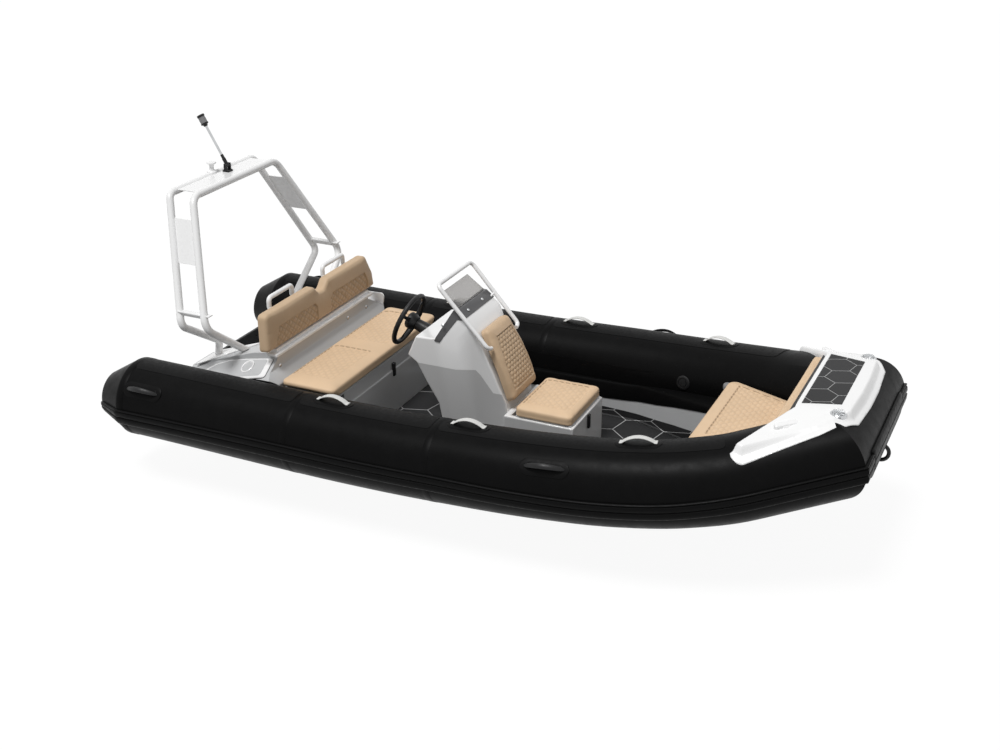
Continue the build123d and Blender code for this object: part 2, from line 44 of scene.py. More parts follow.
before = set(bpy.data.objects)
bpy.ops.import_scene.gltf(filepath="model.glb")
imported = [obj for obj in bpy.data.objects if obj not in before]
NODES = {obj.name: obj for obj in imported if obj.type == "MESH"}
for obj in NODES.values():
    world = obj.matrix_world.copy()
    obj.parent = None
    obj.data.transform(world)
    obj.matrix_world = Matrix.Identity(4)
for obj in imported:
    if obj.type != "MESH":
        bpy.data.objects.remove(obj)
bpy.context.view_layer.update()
PORT, STARBOARD = 1, -1
SIDES = (PORT, STARBOARD)
DEG = math.pi / 180


# ---- sizes and colours a user may change -----------------------------------------------------


def length(name, what, default):
    """A size that a user may change, in metres."""
    return FloatProperty(name=name, description=what, default=default, unit="LENGTH", precision=4)


def tint(name, what, default):
    """A colour that a user may change."""
    return FloatVectorProperty(name=name, description=what, default=default, subtype="COLOR",
                               size=3, min=0.0, max=1.0)


class BoatSizes(bpy.types.PropertyGroup):
    """Sizes of the dressed pieces"""

    strake_thick: length("Strake thickness", "How far the rubbing strake stands off", 0.016)
    panel_lift: length("Panel lift", "How far the top grip panels stand off", 0.003)
    quilt_depth: length("Quilting depth", "How deep the quilting's channels are", 0.005)
    recess_depth: length("Recess depth", "How deep the quilted panels sit", 0.003)
    swell: length("Cushion swell", "The furthest a cushion's cover moves as it fills", 0.007)
    hexagon: length("Foam hexagon", "Width of a hexagon in the deck foam", 0.30)
    floor_drop: length("Floor depth", "How far the studio floor lies under the water line", 0.294)
    lens: FloatProperty(name="Lens", description="The camera's focal length in millimetres",
                        default=50.0)
    around: IntProperty(name="Facets", description="Facets round a tube", default=112, min=24)


class BoatColours(bpy.types.PropertyGroup):
    """Colours of the finishes"""

    tube: tint("Tubes", "Coated fabric of the tubes", (0.0034, 0.0034, 0.0035))
    vinyl: tint("Seats", "Vinyl of the cushions", (0.74, 0.535, 0.345))
    gelcoat: tint("Mouldings", "Gelcoat of the white mouldings", (0.90, 0.90, 0.90))
    paint: tint("Hull", "Paint of the aluminium hull", (0.46, 0.465, 0.47))
    foam: tint("Foam", "Deck foam", (0.011, 0.011, 0.0115))
    line: tint("Foam lines", "Lines cut in the deck foam", (0.50, 0.50, 0.50))


# ---- meshes ----------------------------------------------------------------------------------


def unit(v):
    """The vectors v divided by their lengths."""
    v = np.asarray(v, float)
    return v / np.linalg.norm(v, axis=-1, keepdims=True)


def skin(grid, wrap_u=False, caps=True):
    """Quads over a (u, v) table of points whose columns close on themselves, as (points,
    faces). Wrapping joins the last row to the first, and caps closes both with one face."""
    grid = np.asarray(grid, float)
    nu, nv = grid.shape[:2]
    i, j = np.meshgrid(np.arange(nu if wrap_u else nu - 1), np.arange(nv), indexing="ij")
    i2, j2 = (i + 1) % nu, (j + 1) % nv
    faces = np.stack([i * nv + j, i * nv + j2, i2 * nv + j2, i2 * nv + j], -1).reshape(-1, 4)
    faces = faces.tolist()
    if caps and not wrap_u:
        faces += [list(range(nv))[::-1], list(range((nu - 1) * nv, nu * nv))]
    return grid.reshape(-1, 3), faces


def mirrored(shell):
    """The shell and its image across the boat's centreline."""
    points, faces = shell
    return [shell, (points * (1, -1, 1), [f[::-1] for f in faces])]


def pair(*shells):
    """Every shell on both sides of the boat."""
    return [s for shell in shells for s in mirrored(shell)]


def closed(mesh, sharp=35.0):
    """Merges doubles, turns all faces outwards and marks edges sharper than the angle."""
    bm = bmesh.new()
    bm.from_mesh(mesh)
    bmesh.ops.remove_doubles(bm, verts=bm.verts, dist=1e-5)
    bmesh.ops.recalc_face_normals(bm, faces=bm.faces)
    bm.to_mesh(mesh)
    bm.free()
    mesh.shade_smooth()
    mesh.set_sharp_from_angle(angle=sharp * DEG)


def solid(name, shells, sharp=35.0):
    """An object of one mesh from several (points, faces) shells."""
    points, faces, base = [], [], 0
    for p, f in shells:
        points.append(np.asarray(p, float))
        faces += [[k + base for k in face] for face in f]
        base += len(p)
    mesh = bpy.data.meshes.new(name)
    mesh.from_pydata(np.vstack(points), [], faces)
    closed(mesh, sharp)
    made = bpy.data.objects.new(name, mesh)
    bpy.context.scene.collection.objects.link(made)
    return made


def fit(made, finish, body="boat", stands_for=()):
    """Gives a piece its finish and the body it rides on."""
    made.data.materials.clear()
    made.data.materials.append(finish)
    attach(made, body)
    if stands_for:
        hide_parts(*stands_for)


def softened(node, name, width, segments=2):
    """A copy of a frame node with its triangles merged into faces and its edges rounded."""
    mesh = NODES[node].data.copy()
    mesh.name = name
    bm = bmesh.new()
    bm.from_mesh(mesh)
    bmesh.ops.remove_doubles(bm, verts=bm.verts, dist=2e-5)
    bmesh.ops.dissolve_limit(bm, angle_limit=1.0 * DEG, verts=bm.verts, edges=bm.edges)
    bmesh.ops.recalc_face_normals(bm, faces=bm.faces)
    bm.to_mesh(mesh)
    bm.free()
    for stale in [a.name for a in mesh.attributes if a.name.startswith("custom_normal")]:
        mesh.attributes.remove(mesh.attributes[stale])
    made = bpy.data.objects.new(name, mesh)
    bpy.context.scene.collection.objects.link(made)
    edges = made.modifiers.new("edges", "BEVEL")
    edges.width, edges.segments, edges.limit_method = width, segments, "ANGLE"
    edges.angle_limit = 30 * DEG
    edges.use_clamp_overlap, edges.harden_normals = True, False
    mesh.shade_smooth()
    mesh.set_sharp_from_angle(angle=60 * DEG)
    return made


# ---- sections, paths and outlines ------------------------------------------------------------


def frames_along(path, up):
    """Tangent, side and up at each point of a path, with up held near the given direction."""
    path = np.asarray(path, float)
    t = unit(np.gradient(path, axis=0))
    s = unit(np.cross(np.broadcast_to(np.asarray(up, float), t.shape), t))
    return t, s, np.cross(t, s)


def carry(path, section, up, size=None, loop=False):
    """A closed section of (side, up) points carried along the path, scaled by size at each
    point of it: P(u, v) = path(u) + size(u) (section_x(v) side(u) + section_y(v) up(u))."""
    path, section = np.asarray(path, float), np.asarray(section, float)
    if loop:
        around = np.vstack([path[-1], path, path[0]])
        _, s, n = (f[1:-1] for f in frames_along(around, up))
    else:
        _, s, n = frames_along(path, up)
    k = np.ones(len(path)) if size is None else np.asarray(size, float)
    grid = path[:, None] + k[:, None, None] * (section[None, :, :1] * s[:, None]
                                               + section[None, :, 1:] * n[:, None])
    return skin(grid, wrap_u=loop)


def circle(r, sides=16, squash=1.0):
    """A round or oval section: (r cos a, r squash sin a)."""
    a = np.linspace(0, 2 * math.pi, sides, endpoint=False)
    return np.stack([r * np.cos(a), r * squash * np.sin(a)], -1)


def rounded(corners, radii, inset=0.0, steps=5):
    """A closed outline through the corners, moved in by inset, each corner cut to an arc of its
    radius less the inset. Corners run anticlockwise."""
    p = np.asarray(corners, float)
    a, b = unit(np.roll(p, 1, 0) - p), unit(np.roll(p, -1, 0) - p)
    bend = np.sign(b[:, 0] * a[:, 1] - b[:, 1] * a[:, 0])
    bend = np.where(bend == 0, 1, bend)
    inner = np.arccos(np.clip((a * b).sum(-1), -0.99999, 0.99999))
    middle = unit(a + b) * bend[:, None]
    p = p + middle * (inset / np.sin(inner / 2))[:, None]
    r = np.maximum(np.broadcast_to(radii, len(p)) - inset * bend, 5e-4)
    centre = p + middle * (bend * r / np.sin(inner / 2))[:, None]
    start = p + a * (r / np.tan(inner / 2))[:, None] - centre
    end = p + b * (r / np.tan(inner / 2))[:, None] - centre
    turn = math.pi - inner
    t = np.linspace(0, 1, steps)[None, :, None]
    swing = turn[:, None, None]
    arc = (np.sin((1 - t) * swing) * start[:, None] + np.sin(t * swing) * end[:, None])
    return (centre[:, None] + arc / np.sin(swing)).reshape(-1, 2)


def placed(outline, height, origin, ux, uy, un):
    """Outline points at a height over a plane: origin + x ux + y uy + height un."""
    o, ux, uy, un = (np.asarray(v, float) for v in (origin, ux, uy, un))
    height = np.broadcast_to(height, len(outline))[:, None]
    return o + outline[:, :1] * ux + outline[:, 1:] * uy + height * un


FLAT = ((0, 0, 0), (1, 0, 0), (0, 1, 0), (0, 0, 1))


def slab(corners, radii, levels, plane=FLAT, steps=5):
    """A plate or block: the outline at each (inset, height) level over a plane, closed by a
    face at the bottom and the top."""
    rings = [placed(rounded(corners, radii, inset, steps), h, *plane) for inset, h in levels]
    return skin(np.array(rings))


def soft_levels(low, high, edge, steps=3):
    """Levels of a block from low to high whose upper edge is rounded by edge: along a quarter
    circle the inset is edge (1 - cos a) and the height high - edge (1 - sin a)."""
    a = np.linspace(0, math.pi / 2, steps + 1)
    top = [(edge * (1 - math.cos(t)), high - edge * (1 - math.sin(t))) for t in a]
    return [(0.0, low)] + top


def turned(profile, origin, axis, sides=32):
    """A profile of (radius, height) points turned about an axis through the origin."""
    profile, axis = np.asarray(profile, float), unit(axis)
    side = unit(np.cross(axis, np.eye(3)[np.argmin(np.abs(axis))]))
    other = np.cross(axis, side)
    a = np.linspace(0, 2 * math.pi, sides, endpoint=False)
    around = np.cos(a)[:, None] * side + np.sin(a)[:, None] * other
    r = np.maximum(profile[:, 0], 1e-5)
    grid = np.asarray(origin) + profile[:, 1, None, None] * axis + r[:, None, None] * around
    return skin(grid)


def step(x, low, high):
    """0 below low, 1 above high and a smooth rise between them."""
    t = np.clip((x - low) / (high - low), 0, 1)
    return t * t * (3 - 2 * t)


# ---- the buoyancy tube's line and skin -------------------------------------------------------

KNOTS = np.array([[-0.215, 0.9051, 0.270], [2.05, 0.9021, 0.274], [2.70, 0.8801, 0.303],
                  [3.18, 0.8301, 0.336], [3.56, 0.7501, 0.382], [3.88, 0.6321, 0.446],
                  [4.285, 0.4361, 0.562]])
NOSE_X, NOSE_Y, NOSE_Z = KNOTS[-1]
CONE_X, CONE_END, CONE_R, CONE_DROP = -0.215, -0.43, 0.15, 0.02
R = 0.26


def tube_centre(x):
    """The port tube's centre at x: through the knots on cubics whose slopes are the weighted
    mean of the runs either side, and straight over the last run."""
    x = np.asarray(x, float)
    dx = np.diff(KNOTS[:, 0])
    runs = np.diff(KNOTS, axis=0) / dx[:, None]
    slope = np.zeros_like(KNOTS)
    mean = runs[:-1] * dx[1:, None] + runs[1:] * dx[:-1, None]
    slope[1:-1] = mean / (dx[1:] + dx[:-1])[:, None]
    slope[0] = (1, 0, 0)
    slope[-2:] = runs[-1]
    i = np.clip(np.searchsorted(KNOTS[:, 0], x) - 1, 0, len(dx) - 1)
    t = (np.clip(x, CONE_X, None) - KNOTS[i, 0]) / dx[i]
    t, d = t[..., None], dx[i][..., None]
    p = ((2 * t**3 - 3 * t**2 + 1) * KNOTS[i] + (t**3 - 2 * t**2 + t) * d * slope[i]
         + (3 * t**2 - 2 * t**3) * KNOTS[i + 1] + (t**3 - t**2) * d * slope[i + 1])
    p[..., 0] = x
    back = np.clip((CONE_X - x) / (CONE_X - CONE_END), 0, 1)
    p[..., 2] -= CONE_DROP * back
    return p


def tube_frame(x):
    """Centre, run, outboard and upward directions of the port tube at x."""
    x = np.asarray(x, float)
    t = unit(tube_centre(x + 1e-4) - tube_centre(x - 1e-4))
    t = np.where((x < CONE_X + 0.001)[..., None], (1.0, 0.0, 0.0), t)
    out = unit(np.stack([-t[..., 1], t[..., 0], np.zeros_like(x)], -1))
    return tube_centre(x), t, out, np.cross(t, out)


def tube_size(x):
    """The tube's radius at x, less towards the blunt end of the stern cone."""
    return R - (R - CONE_R) * np.clip((CONE_X - x) / (CONE_X - CONE_END), 0, 1)


def on_tube(x, angle, lift=0.0, side=PORT):
    """A point on the tube: angle in degrees up from its outboard side, lift off its skin."""
    x, angle = np.broadcast_arrays(np.asarray(x, float), np.asarray(angle, float))
    c, _, out, up = tube_frame(x)
    a = angle * DEG
    r = (tube_size(x) + lift)[..., None]
    p = c + r * (np.cos(a)[..., None] * out + np.sin(a)[..., None] * up)
    return p * (1, side, 1)


RUN = unit(KNOTS[-1] - KNOTS[-2])
MITRE = RUN + (0, -1, 0)


def to_mitre(points):
    """Points slid along the last run onto the plane where a side tube meets the nose tube."""
    t = ((KNOTS[-1] - points) @ MITRE) / (RUN @ MITRE)
    return points + t[..., None] * RUN


def tube_patch(x0, x1, middle, half, corner, lift, side=PORT, nu=24, nv=9):
    """A patch on the tube between x0 and x1: half is its half width along the skin, cut to
    rounded corners where the width falls to sqrt(c^2 - (c - d)^2) at a distance d from an end."""
    a = np.linspace(0, 1, 9)
    ends = corner * (1 - np.cos(a * math.pi / 2))
    x = np.concatenate([x0 + ends, np.linspace(x0 + corner, x1 - corner, nu)[1:-1],
                        (x1 - ends)[::-1]])
    d = np.minimum(np.minimum(x - x0, x1 - x), corner)
    w = half - corner + np.sqrt(np.maximum(corner**2 - (corner - d)**2, 1e-8))
    t = np.concatenate([[-1], np.linspace(-1, 1, nv), [1]])
    h = np.concatenate([[-0.002], np.full(nv, lift), [-0.002]])
    h[1] = h[-2] = lift * 0.6
    angle = middle + (w[:, None] * t[None]) / R / DEG
    grid = on_tube(np.repeat(x[:, None], len(t), 1), angle, np.repeat(h[None], len(x), 0), side)
    under = on_tube(np.repeat(x[:, None], 2, 1), angle[:, [-1, 0]],
                    np.full((len(x), 2), -0.006), side)
    return skin(np.concatenate([grid, under], 1))


def tube_height(x, y):
    """The height of the tubes' upper skin over (x, y): centre height plus the root of the
    radius squared less the distance from the centreline squared, at the nearest centre."""
    xs = np.linspace(3.2, NOSE_X, 220)
    line = np.vstack([tube_centre(xs), np.stack([np.full(60, NOSE_X), np.linspace(NOSE_Y, 0, 60),
                                                 np.full(60, NOSE_Z)], -1)])
    flat = np.stack([np.ravel(x), np.abs(np.ravel(y))], -1)
    gap = ((flat[:, None] - line[None, :, :2]) ** 2).sum(-1)
    near = gap.argmin(1)
    z = line[near, 2] + np.sqrt(np.maximum(R**2 - gap[np.arange(len(near)), near], 0))
    return z.reshape(np.shape(x))


# ---- finishes --------------------------------------------------------------------------------


class Finish:
    """A node material round one Principled shader, with short ways to add nodes."""

    def __init__(self, name, rough=0.5, **sockets):
        self.material = bpy.data.materials.new(name)
        self.material.use_nodes = True
        self.tree = self.material.node_tree
        self.shader = self.tree.nodes["Principled BSDF"]
        self.shader.inputs["Roughness"].default_value = rough
        for socket, value in sockets.items():
            self.shader.inputs[socket.replace("_", " ")].default_value = value
        self.place = self.add("TexCoord").outputs["Object"]

    def add(self, kind, inputs=None, **settings):
        """A new node of the kind, with its settings, and inputs that are values or outputs."""
        node = self.tree.nodes.new("ShaderNode" + kind)
        for key, value in settings.items():
            setattr(node, key, value)
        for key, value in (inputs or {}).items():
            if isinstance(value, bpy.types.NodeSocket):
                self.tree.links.new(value, node.inputs[key])
            else:
                node.inputs[key].default_value = value
        return node

    def link(self, output, socket):
        """Joins an output to a socket of the shader."""
        self.tree.links.new(output, self.shader.inputs[socket])

    def math(self, operation, a, b=0.0):
        """The result of a sum on one or two numbers."""
        return self.add("Math", {0: a, 1: b}, operation=operation).outputs[0]

    def vector(self, operation, a, b=(0, 0, 0), out=0):
        """The result of a sum on vectors; out is 1 for a single number."""
        return self.add("VectorMath", {0: a, 1: b}, operation=operation).outputs[out]

    def noise(self, scale, detail=3.0, rough=0.5):
        """Cloudy noise, scale waves to the metre."""
        return self.add("TexNoise", {"Vector": self.place, "Scale": scale,
                                     "Detail": detail, "Roughness": rough}).outputs["Fac"]

    def ramp(self, value, low, high, a, b):
        """Value between low and high carried to a number between a and b."""
        return self.add("MapRange", {"Value": value, "From Min": low, "From Max": high,
                                     "To Min": a, "To Max": b}).outputs["Result"]

    def mixed(self, share, a, b):
        """Colour a turning to colour b by share."""
        node = self.add("Mix", data_type="RGBA")
        for key, value in ((0, share), (6, a), (7, b)):
            if isinstance(value, bpy.types.NodeSocket):
                self.tree.links.new(value, node.inputs[key])
            else:
                node.inputs[key].default_value = value if key == 0 else (*value, 1.0)
        return node.outputs[2]

    def bump(self, height, strength, distance, over=None):
        """A normal bent by the height, on top of another bump where one is given."""
        inputs = {"Height": height, "Strength": strength, "Distance": distance}
        if over:
            inputs["Normal"] = over
        return self.add("Bump", inputs).outputs["Normal"]


def shade(colour, k):
    """The colour made k times as light."""
    return tuple(min(1.0, c * k) for c in colour)


def mottled(name, colour, rough, spread=0.12, patch=3.0, grain=220.0, relief=0.08,
            rough_spread=0.08, depth=0.0006, **sockets):
    """A moulded or painted finish: broad soft changes of tone, a change of gloss at a middle
    scale, and a fine grain in relief."""
    f = Finish(name, rough, **sockets)
    broad = f.noise(patch, 4.0)
    f.link(f.mixed(f.ramp(broad, 0.3, 0.7, 0, 1), shade(colour, 1 - spread),
                   shade(colour, 1 + spread)), "Base Color")
    f.link(f.ramp(f.noise(patch * 9, 3.0), 0.3, 0.7, rough - rough_spread, rough + rough_spread),
           "Roughness")
    f.link(f.bump(f.noise(grain, 2.0), relief, depth), "Normal")
    return f.material


def shade_panelled(name, colour, rough, **sockets):
    """Gelcoat with a duller panel on each side wall, darkened by painted shade: where the wall
    faces sideways, below the level 0.58 and either below 0.435 or behind the slanting line z +
    1.234 x = 3.000."""
    f = Finish(name, rough, **sockets)
    place = f.add("SeparateXYZ", {0: f.place}).outputs
    wall = f.add("SeparateXYZ", {0: f.add("NewGeometry").outputs["Normal"]}).outputs
    x, z = place["X"], place["Z"]
    level = f.ramp(z, 0.579, 0.582, 1, 0)
    slant = f.ramp(f.math("ADD", z, f.math("MULTIPLY", x, 1.234)), 2.998, 3.002, 1, 0)
    foot = f.ramp(z, 0.431, 0.437, 1, 0)
    sides = f.ramp(f.math("ABSOLUTE", wall["Y"]), 0.45, 0.6, 0, 1)
    sunk = f.math("MULTIPLY", f.math("MULTIPLY", level, f.math("MAXIMUM", slant, foot)), sides)
    soft = f.ramp(f.noise(2.0, 3.0), 0.3, 0.7, 0, 1)
    tone = f.mixed(soft, shade(colour, 0.99), shade(colour, 1.01))
    # painted shade: the sunk side panels take the gelcoat at 0.6 of its lightness
    f.link(f.mixed(sunk, tone, shade(colour, 0.60)), "Base Color")
    f.link(f.ramp(sunk, 0, 1, rough, rough + 0.12), "Roughness")
    relief = f.bump(f.math("SUBTRACT", 1.0, sunk), 0.15, 0.002)
    f.link(f.bump(f.noise(300.0, 2.0), 0.01, 0.0003, relief), "Normal")
    return f.material


def tube_fabric(name, colour, rough=0.36, spread=0.12):
    """Coated fabric: the weave shows faintly through the coat, with soft scuffs and dust."""
    f = Finish(name, rough, Specular_IOR_Level=0.045)
    dust = f.noise(1.6, 5.0, 0.6)
    scuff = f.noise(14.0, 6.0, 0.7)
    share = f.math("MULTIPLY", f.ramp(dust, 0.42, 0.75, 0, 1), f.ramp(scuff, 0.4, 0.7, 0.3, 1))
    f.link(f.mixed(share, colour, shade(colour, 1 + 6 * spread)), "Base Color")
    f.link(f.ramp(scuff, 0.3, 0.75, rough - 0.06, rough + 0.10), "Roughness")
    weave = f.add("TexWave", {"Vector": f.place, "Scale": 260.0, "Distortion": 0.3},
                  wave_type="BANDS", bands_direction="DIAGONAL").outputs["Fac"]
    puckers = f.bump(f.noise(2.2, 3.0), 0.10, 0.010)
    f.link(f.bump(weave, 0.05, 0.0004, puckers), "Normal")
    return f.material


def vinyl(name, colour):
    """Seat vinyl: pebbled grain, darkened with painted shade where the channel attribute marks
    creases, seams and stitch lines.
    """
    f = Finish(name, 0.55, Specular_IOR_Level=0.35, Sheen_Weight=0.08, Sheen_Roughness=0.5)
    channel = f.add("Attribute", attribute_name="channel").outputs["Fac"]
    tone = f.mixed(f.ramp(f.noise(5.0, 4.0), 0.3, 0.7, 0, 1), shade(colour, 0.95),
                   shade(colour, 1.04))
    # painted shade: the dark tone that the channel attribute mixes into the vinyl
    dark = tuple(c * k for c, k in zip(colour, (0.30, 0.26, 0.22)))
    f.link(f.mixed(channel, tone, dark), "Base Color")
    pebble = f.add("TexVoronoi", {"Vector": f.place, "Scale": 420.0}).outputs["Distance"]
    f.link(f.ramp(f.noise(60.0, 3.0), 0.3, 0.7, 0.48, 0.62), "Roughness")
    f.link(f.bump(pebble, 0.22, 0.0005, f.bump(f.noise(18.0, 3.0), 0.12, 0.004)), "Normal")
    return f.material


def hex_foam(name, colour, line, width, turn=0.0, spread=(0.0, 0.0)):
    """Closed-cell deck foam routed with a lattice of hexagons. Each point is moved to the
    nearer of two offset rectangular lattices; its largest distance across the three hexagon
    directions gives the line, and its lattice point gives the cell's own tone. Foam turned up
    the sides carries the lattice on: its height moves it on by the spread, outwards."""
    f = Finish(name, 0.62, Specular_IOR_Level=0.3)
    root, far, flat_top = math.sqrt(3), 64.0, 0.026
    height = f.vector("DOT_PRODUCT", f.place, (0, 0, 1), 1)
    rise = f.math("MAXIMUM", f.math("SUBTRACT", height, flat_top), 0.0)
    side = f.math("SIGN", f.vector("DOT_PRODUCT", f.place, (0, 1, 0), 1))
    more = f.add("CombineXYZ", {"X": f.math("MULTIPLY", rise, spread[0]), "Y": f.math(
        "MULTIPLY", f.math("MULTIPLY", rise, spread[1]), side)}).outputs[0]
    p = f.add("Mapping", {"Vector": f.vector("ADD", f.place, more), "Rotation": (0, 0, turn * DEG),
                          "Scale": (1 / width, 1 / width, 0)}).outputs["Vector"]
    pitch, half = (1.0, root, 1.0), (0.5, root / 2, 0.0)
    shift = f.vector("ADD", p, (far, far * root, 0.0))
    one = f.vector("SUBTRACT", f.vector("MODULO", shift, pitch), half)
    two = f.vector("SUBTRACT", f.vector("MODULO", f.vector("ADD", shift, half), pitch), half)
    nearer = f.math("LESS_THAN", f.vector("DOT_PRODUCT", one, one, 1),
                    f.vector("DOT_PRODUCT", two, two, 1))
    pick = f.add("Mix", data_type="VECTOR")
    for key, value in ((0, nearer), (4, two), (5, one)):
        f.tree.links.new(value, pick.inputs[key])
    local = pick.outputs[1]
    fold = f.vector("ABSOLUTE", local)
    slant = f.vector("DOT_PRODUCT", fold, half, 1)
    across = f.vector("DOT_PRODUCT", fold, (1.0, 0.0, 0.0), 1)
    edge = f.math("SUBTRACT", 0.5, f.math("MAXIMUM", slant, across))
    cut = f.ramp(edge, 0.006, 0.012, 1.0, 0.0)
    cell = f.add("TexWhiteNoise", {"Vector": f.vector("SUBTRACT", shift, local)}).outputs["Value"]
    fine = f.noise(900.0, 2.0)
    tone = f.mixed(f.ramp(cell, 0, 1, 0, 1), shade(colour, 0.75), shade(colour, 1.9))
    tone = f.mixed(f.ramp(fine, 0.35, 0.65, 0, 0.35), tone, shade(colour, 2.4))
    f.link(f.mixed(cut, tone, line), "Base Color")
    relief = f.math("SUBTRACT", f.math("MULTIPLY", fine, 0.25), cut)
    f.link(f.bump(relief, 0.5, 0.0015), "Normal")
    return f.material


def webbing(name, colour):
    """Woven strap: ribs across the strap's own length, from its UV map."""
    f = Finish(name, 0.7, Specular_IOR_Level=0.25)
    uv = f.add("TexCoord").outputs["UV"]
    ribs = f.add("TexWave", {"Vector": uv, "Scale": 40.0, "Distortion": 0.4},
                 wave_type="BANDS", bands_direction="X").outputs["Fac"]
    f.link(f.mixed(ribs, shade(colour, 0.85), colour), "Base Color")
    f.link(f.bump(ribs, 0.4, 0.0008), "Normal")
    return f.material


def clear(name, colour, rough, through):
    """A sheet or lens that lets the share through of the light pass, with a faint haze."""
    f = Finish(name, rough, Transmission_Weight=through, IOR=1.45)
    haze = f.noise(30.0, 4.0)
    f.link(f.mixed(f.ramp(haze, 0.4, 0.8, 0, 0.15), colour, shade(colour, 1.3)), "Base Color")
    f.link(f.ramp(haze, 0.3, 0.8, rough, rough + 0.06), "Roughness")
    return f.material


def make_finishes(colours):
    """Every finish by name."""
    c = {k: tuple(getattr(colours, k)) for k in ("tube", "vinyl", "gelcoat", "paint")}
    coat = {"Coat_Weight": 0.5, "Coat_Roughness": 0.08}
    return {
        "tube": tube_fabric("tube_fabric", c["tube"]),
        "panel": mottled("grip_panel", shade(c["tube"], 1.4), 0.50, spread=0.1, patch=6.0,
                         grain=700.0, relief=0.25, Specular_IOR_Level=0.07),
        "strake": mottled("strake_rubber", c["tube"], 0.40, spread=0.1, patch=4.0, grain=300.0,
                          relief=0.06, Specular_IOR_Level=0.06),
        "paint": mottled("hull_paint", shade(c["paint"], 1.12), 0.36, spread=0.012, patch=1.2,
                         grain=400.0, relief=0.015, rough_spread=0.03, depth=0.0003,
                         Specular_IOR_Level=0.4, Coat_Weight=0.2, Coat_Roughness=0.15),
        "white_metal": mottled("white_powder_coat", (0.90, 0.90, 0.90), 0.28, spread=0.010,
                               patch=3.0, grain=600.0, relief=0.02, rough_spread=0.03,
                               depth=0.0003, Coat_Weight=0.35, Coat_Roughness=0.12),
        "gelcoat": mottled("white_gelcoat", c["gelcoat"], 0.24, spread=0.008, patch=2.0,
                           grain=300.0, relief=0.01, rough_spread=0.02, depth=0.0003, **coat),
        "console": shade_panelled("console_gelcoat", shade(c["gelcoat"], 0.97), 0.24, **coat),
        "dark_metal": mottled("dark_bracket_paint", (0.085, 0.085, 0.088), 0.36, spread=0.03,
                              patch=6.0, grain=400.0, relief=0.04, Specular_IOR_Level=0.4),
        "black": mottled("black_moulded_plastic", (0.007, 0.007, 0.0075), 0.42, spread=0.1,
                         patch=8.0, grain=500.0, relief=0.2, Specular_IOR_Level=0.3),
        "steel": mottled("brushed_stainless", (0.55, 0.56, 0.57), 0.22, spread=0.08, patch=12.0,
                         grain=300.0, relief=0.06, Metallic=1.0),
        "grey": mottled("grey_plastic", (0.22, 0.22, 0.225), 0.42, spread=0.08, patch=6.0,
                        grain=400.0, relief=0.15),
        "vinyl": vinyl("seat_vinyl", c["vinyl"]),
        # painted shade: the seat vinyl at 0.8 of its lightness, for the backrest and the console
        # pad
        "shaded_vinyl": vinyl("vinyl_painted_shade", shade(c["vinyl"], 0.80)),
        "webbing": webbing("strap_webbing", (0.78, 0.78, 0.76)),
        "smoke": clear("smoked_acrylic", (0.43, 0.42, 0.41), 0.04, 0.85),
        "lens": clear("clear_lens", (0.9, 0.91, 0.92), 0.03, 0.9),
    }


def finishes():
    """The finishes, made once."""
    if not hasattr(finishes, "made"):
        finishes.made = make_finishes(bpy.context.scene.boat_colours)
    return finishes.made


def piece(name, shells, finish, sharp=35.0, body="boat", stands_for=()):
    """A new piece of one mesh, with its finish by name."""
    fit(solid(name, shells, sharp), finishes()[finish], body, stands_for)


def soften(node, name, width, finish, segments=2):
    """A rounded copy that stands for a frame node, with its finish by name."""
    fit(softened(node, name, width, segments), finishes()[finish], stands_for=(node,))


def dress(finish, *nodes):
    """Gives frame nodes that stay a finish of their own."""
    for node in nodes:
        mesh = NODES[node].data
        mesh.materials.clear()
        mesh.materials.append(finishes()[finish])


# ---- stage -----------------------------------------------------------------------------------


class Dresser(bpy.types.Operator):
    """Common ground of the operators"""

    bl_options = {"REGISTER"}

    def execute(self, context):
        self.make(context.scene.boat_sizes)
        return {"FINISHED"}


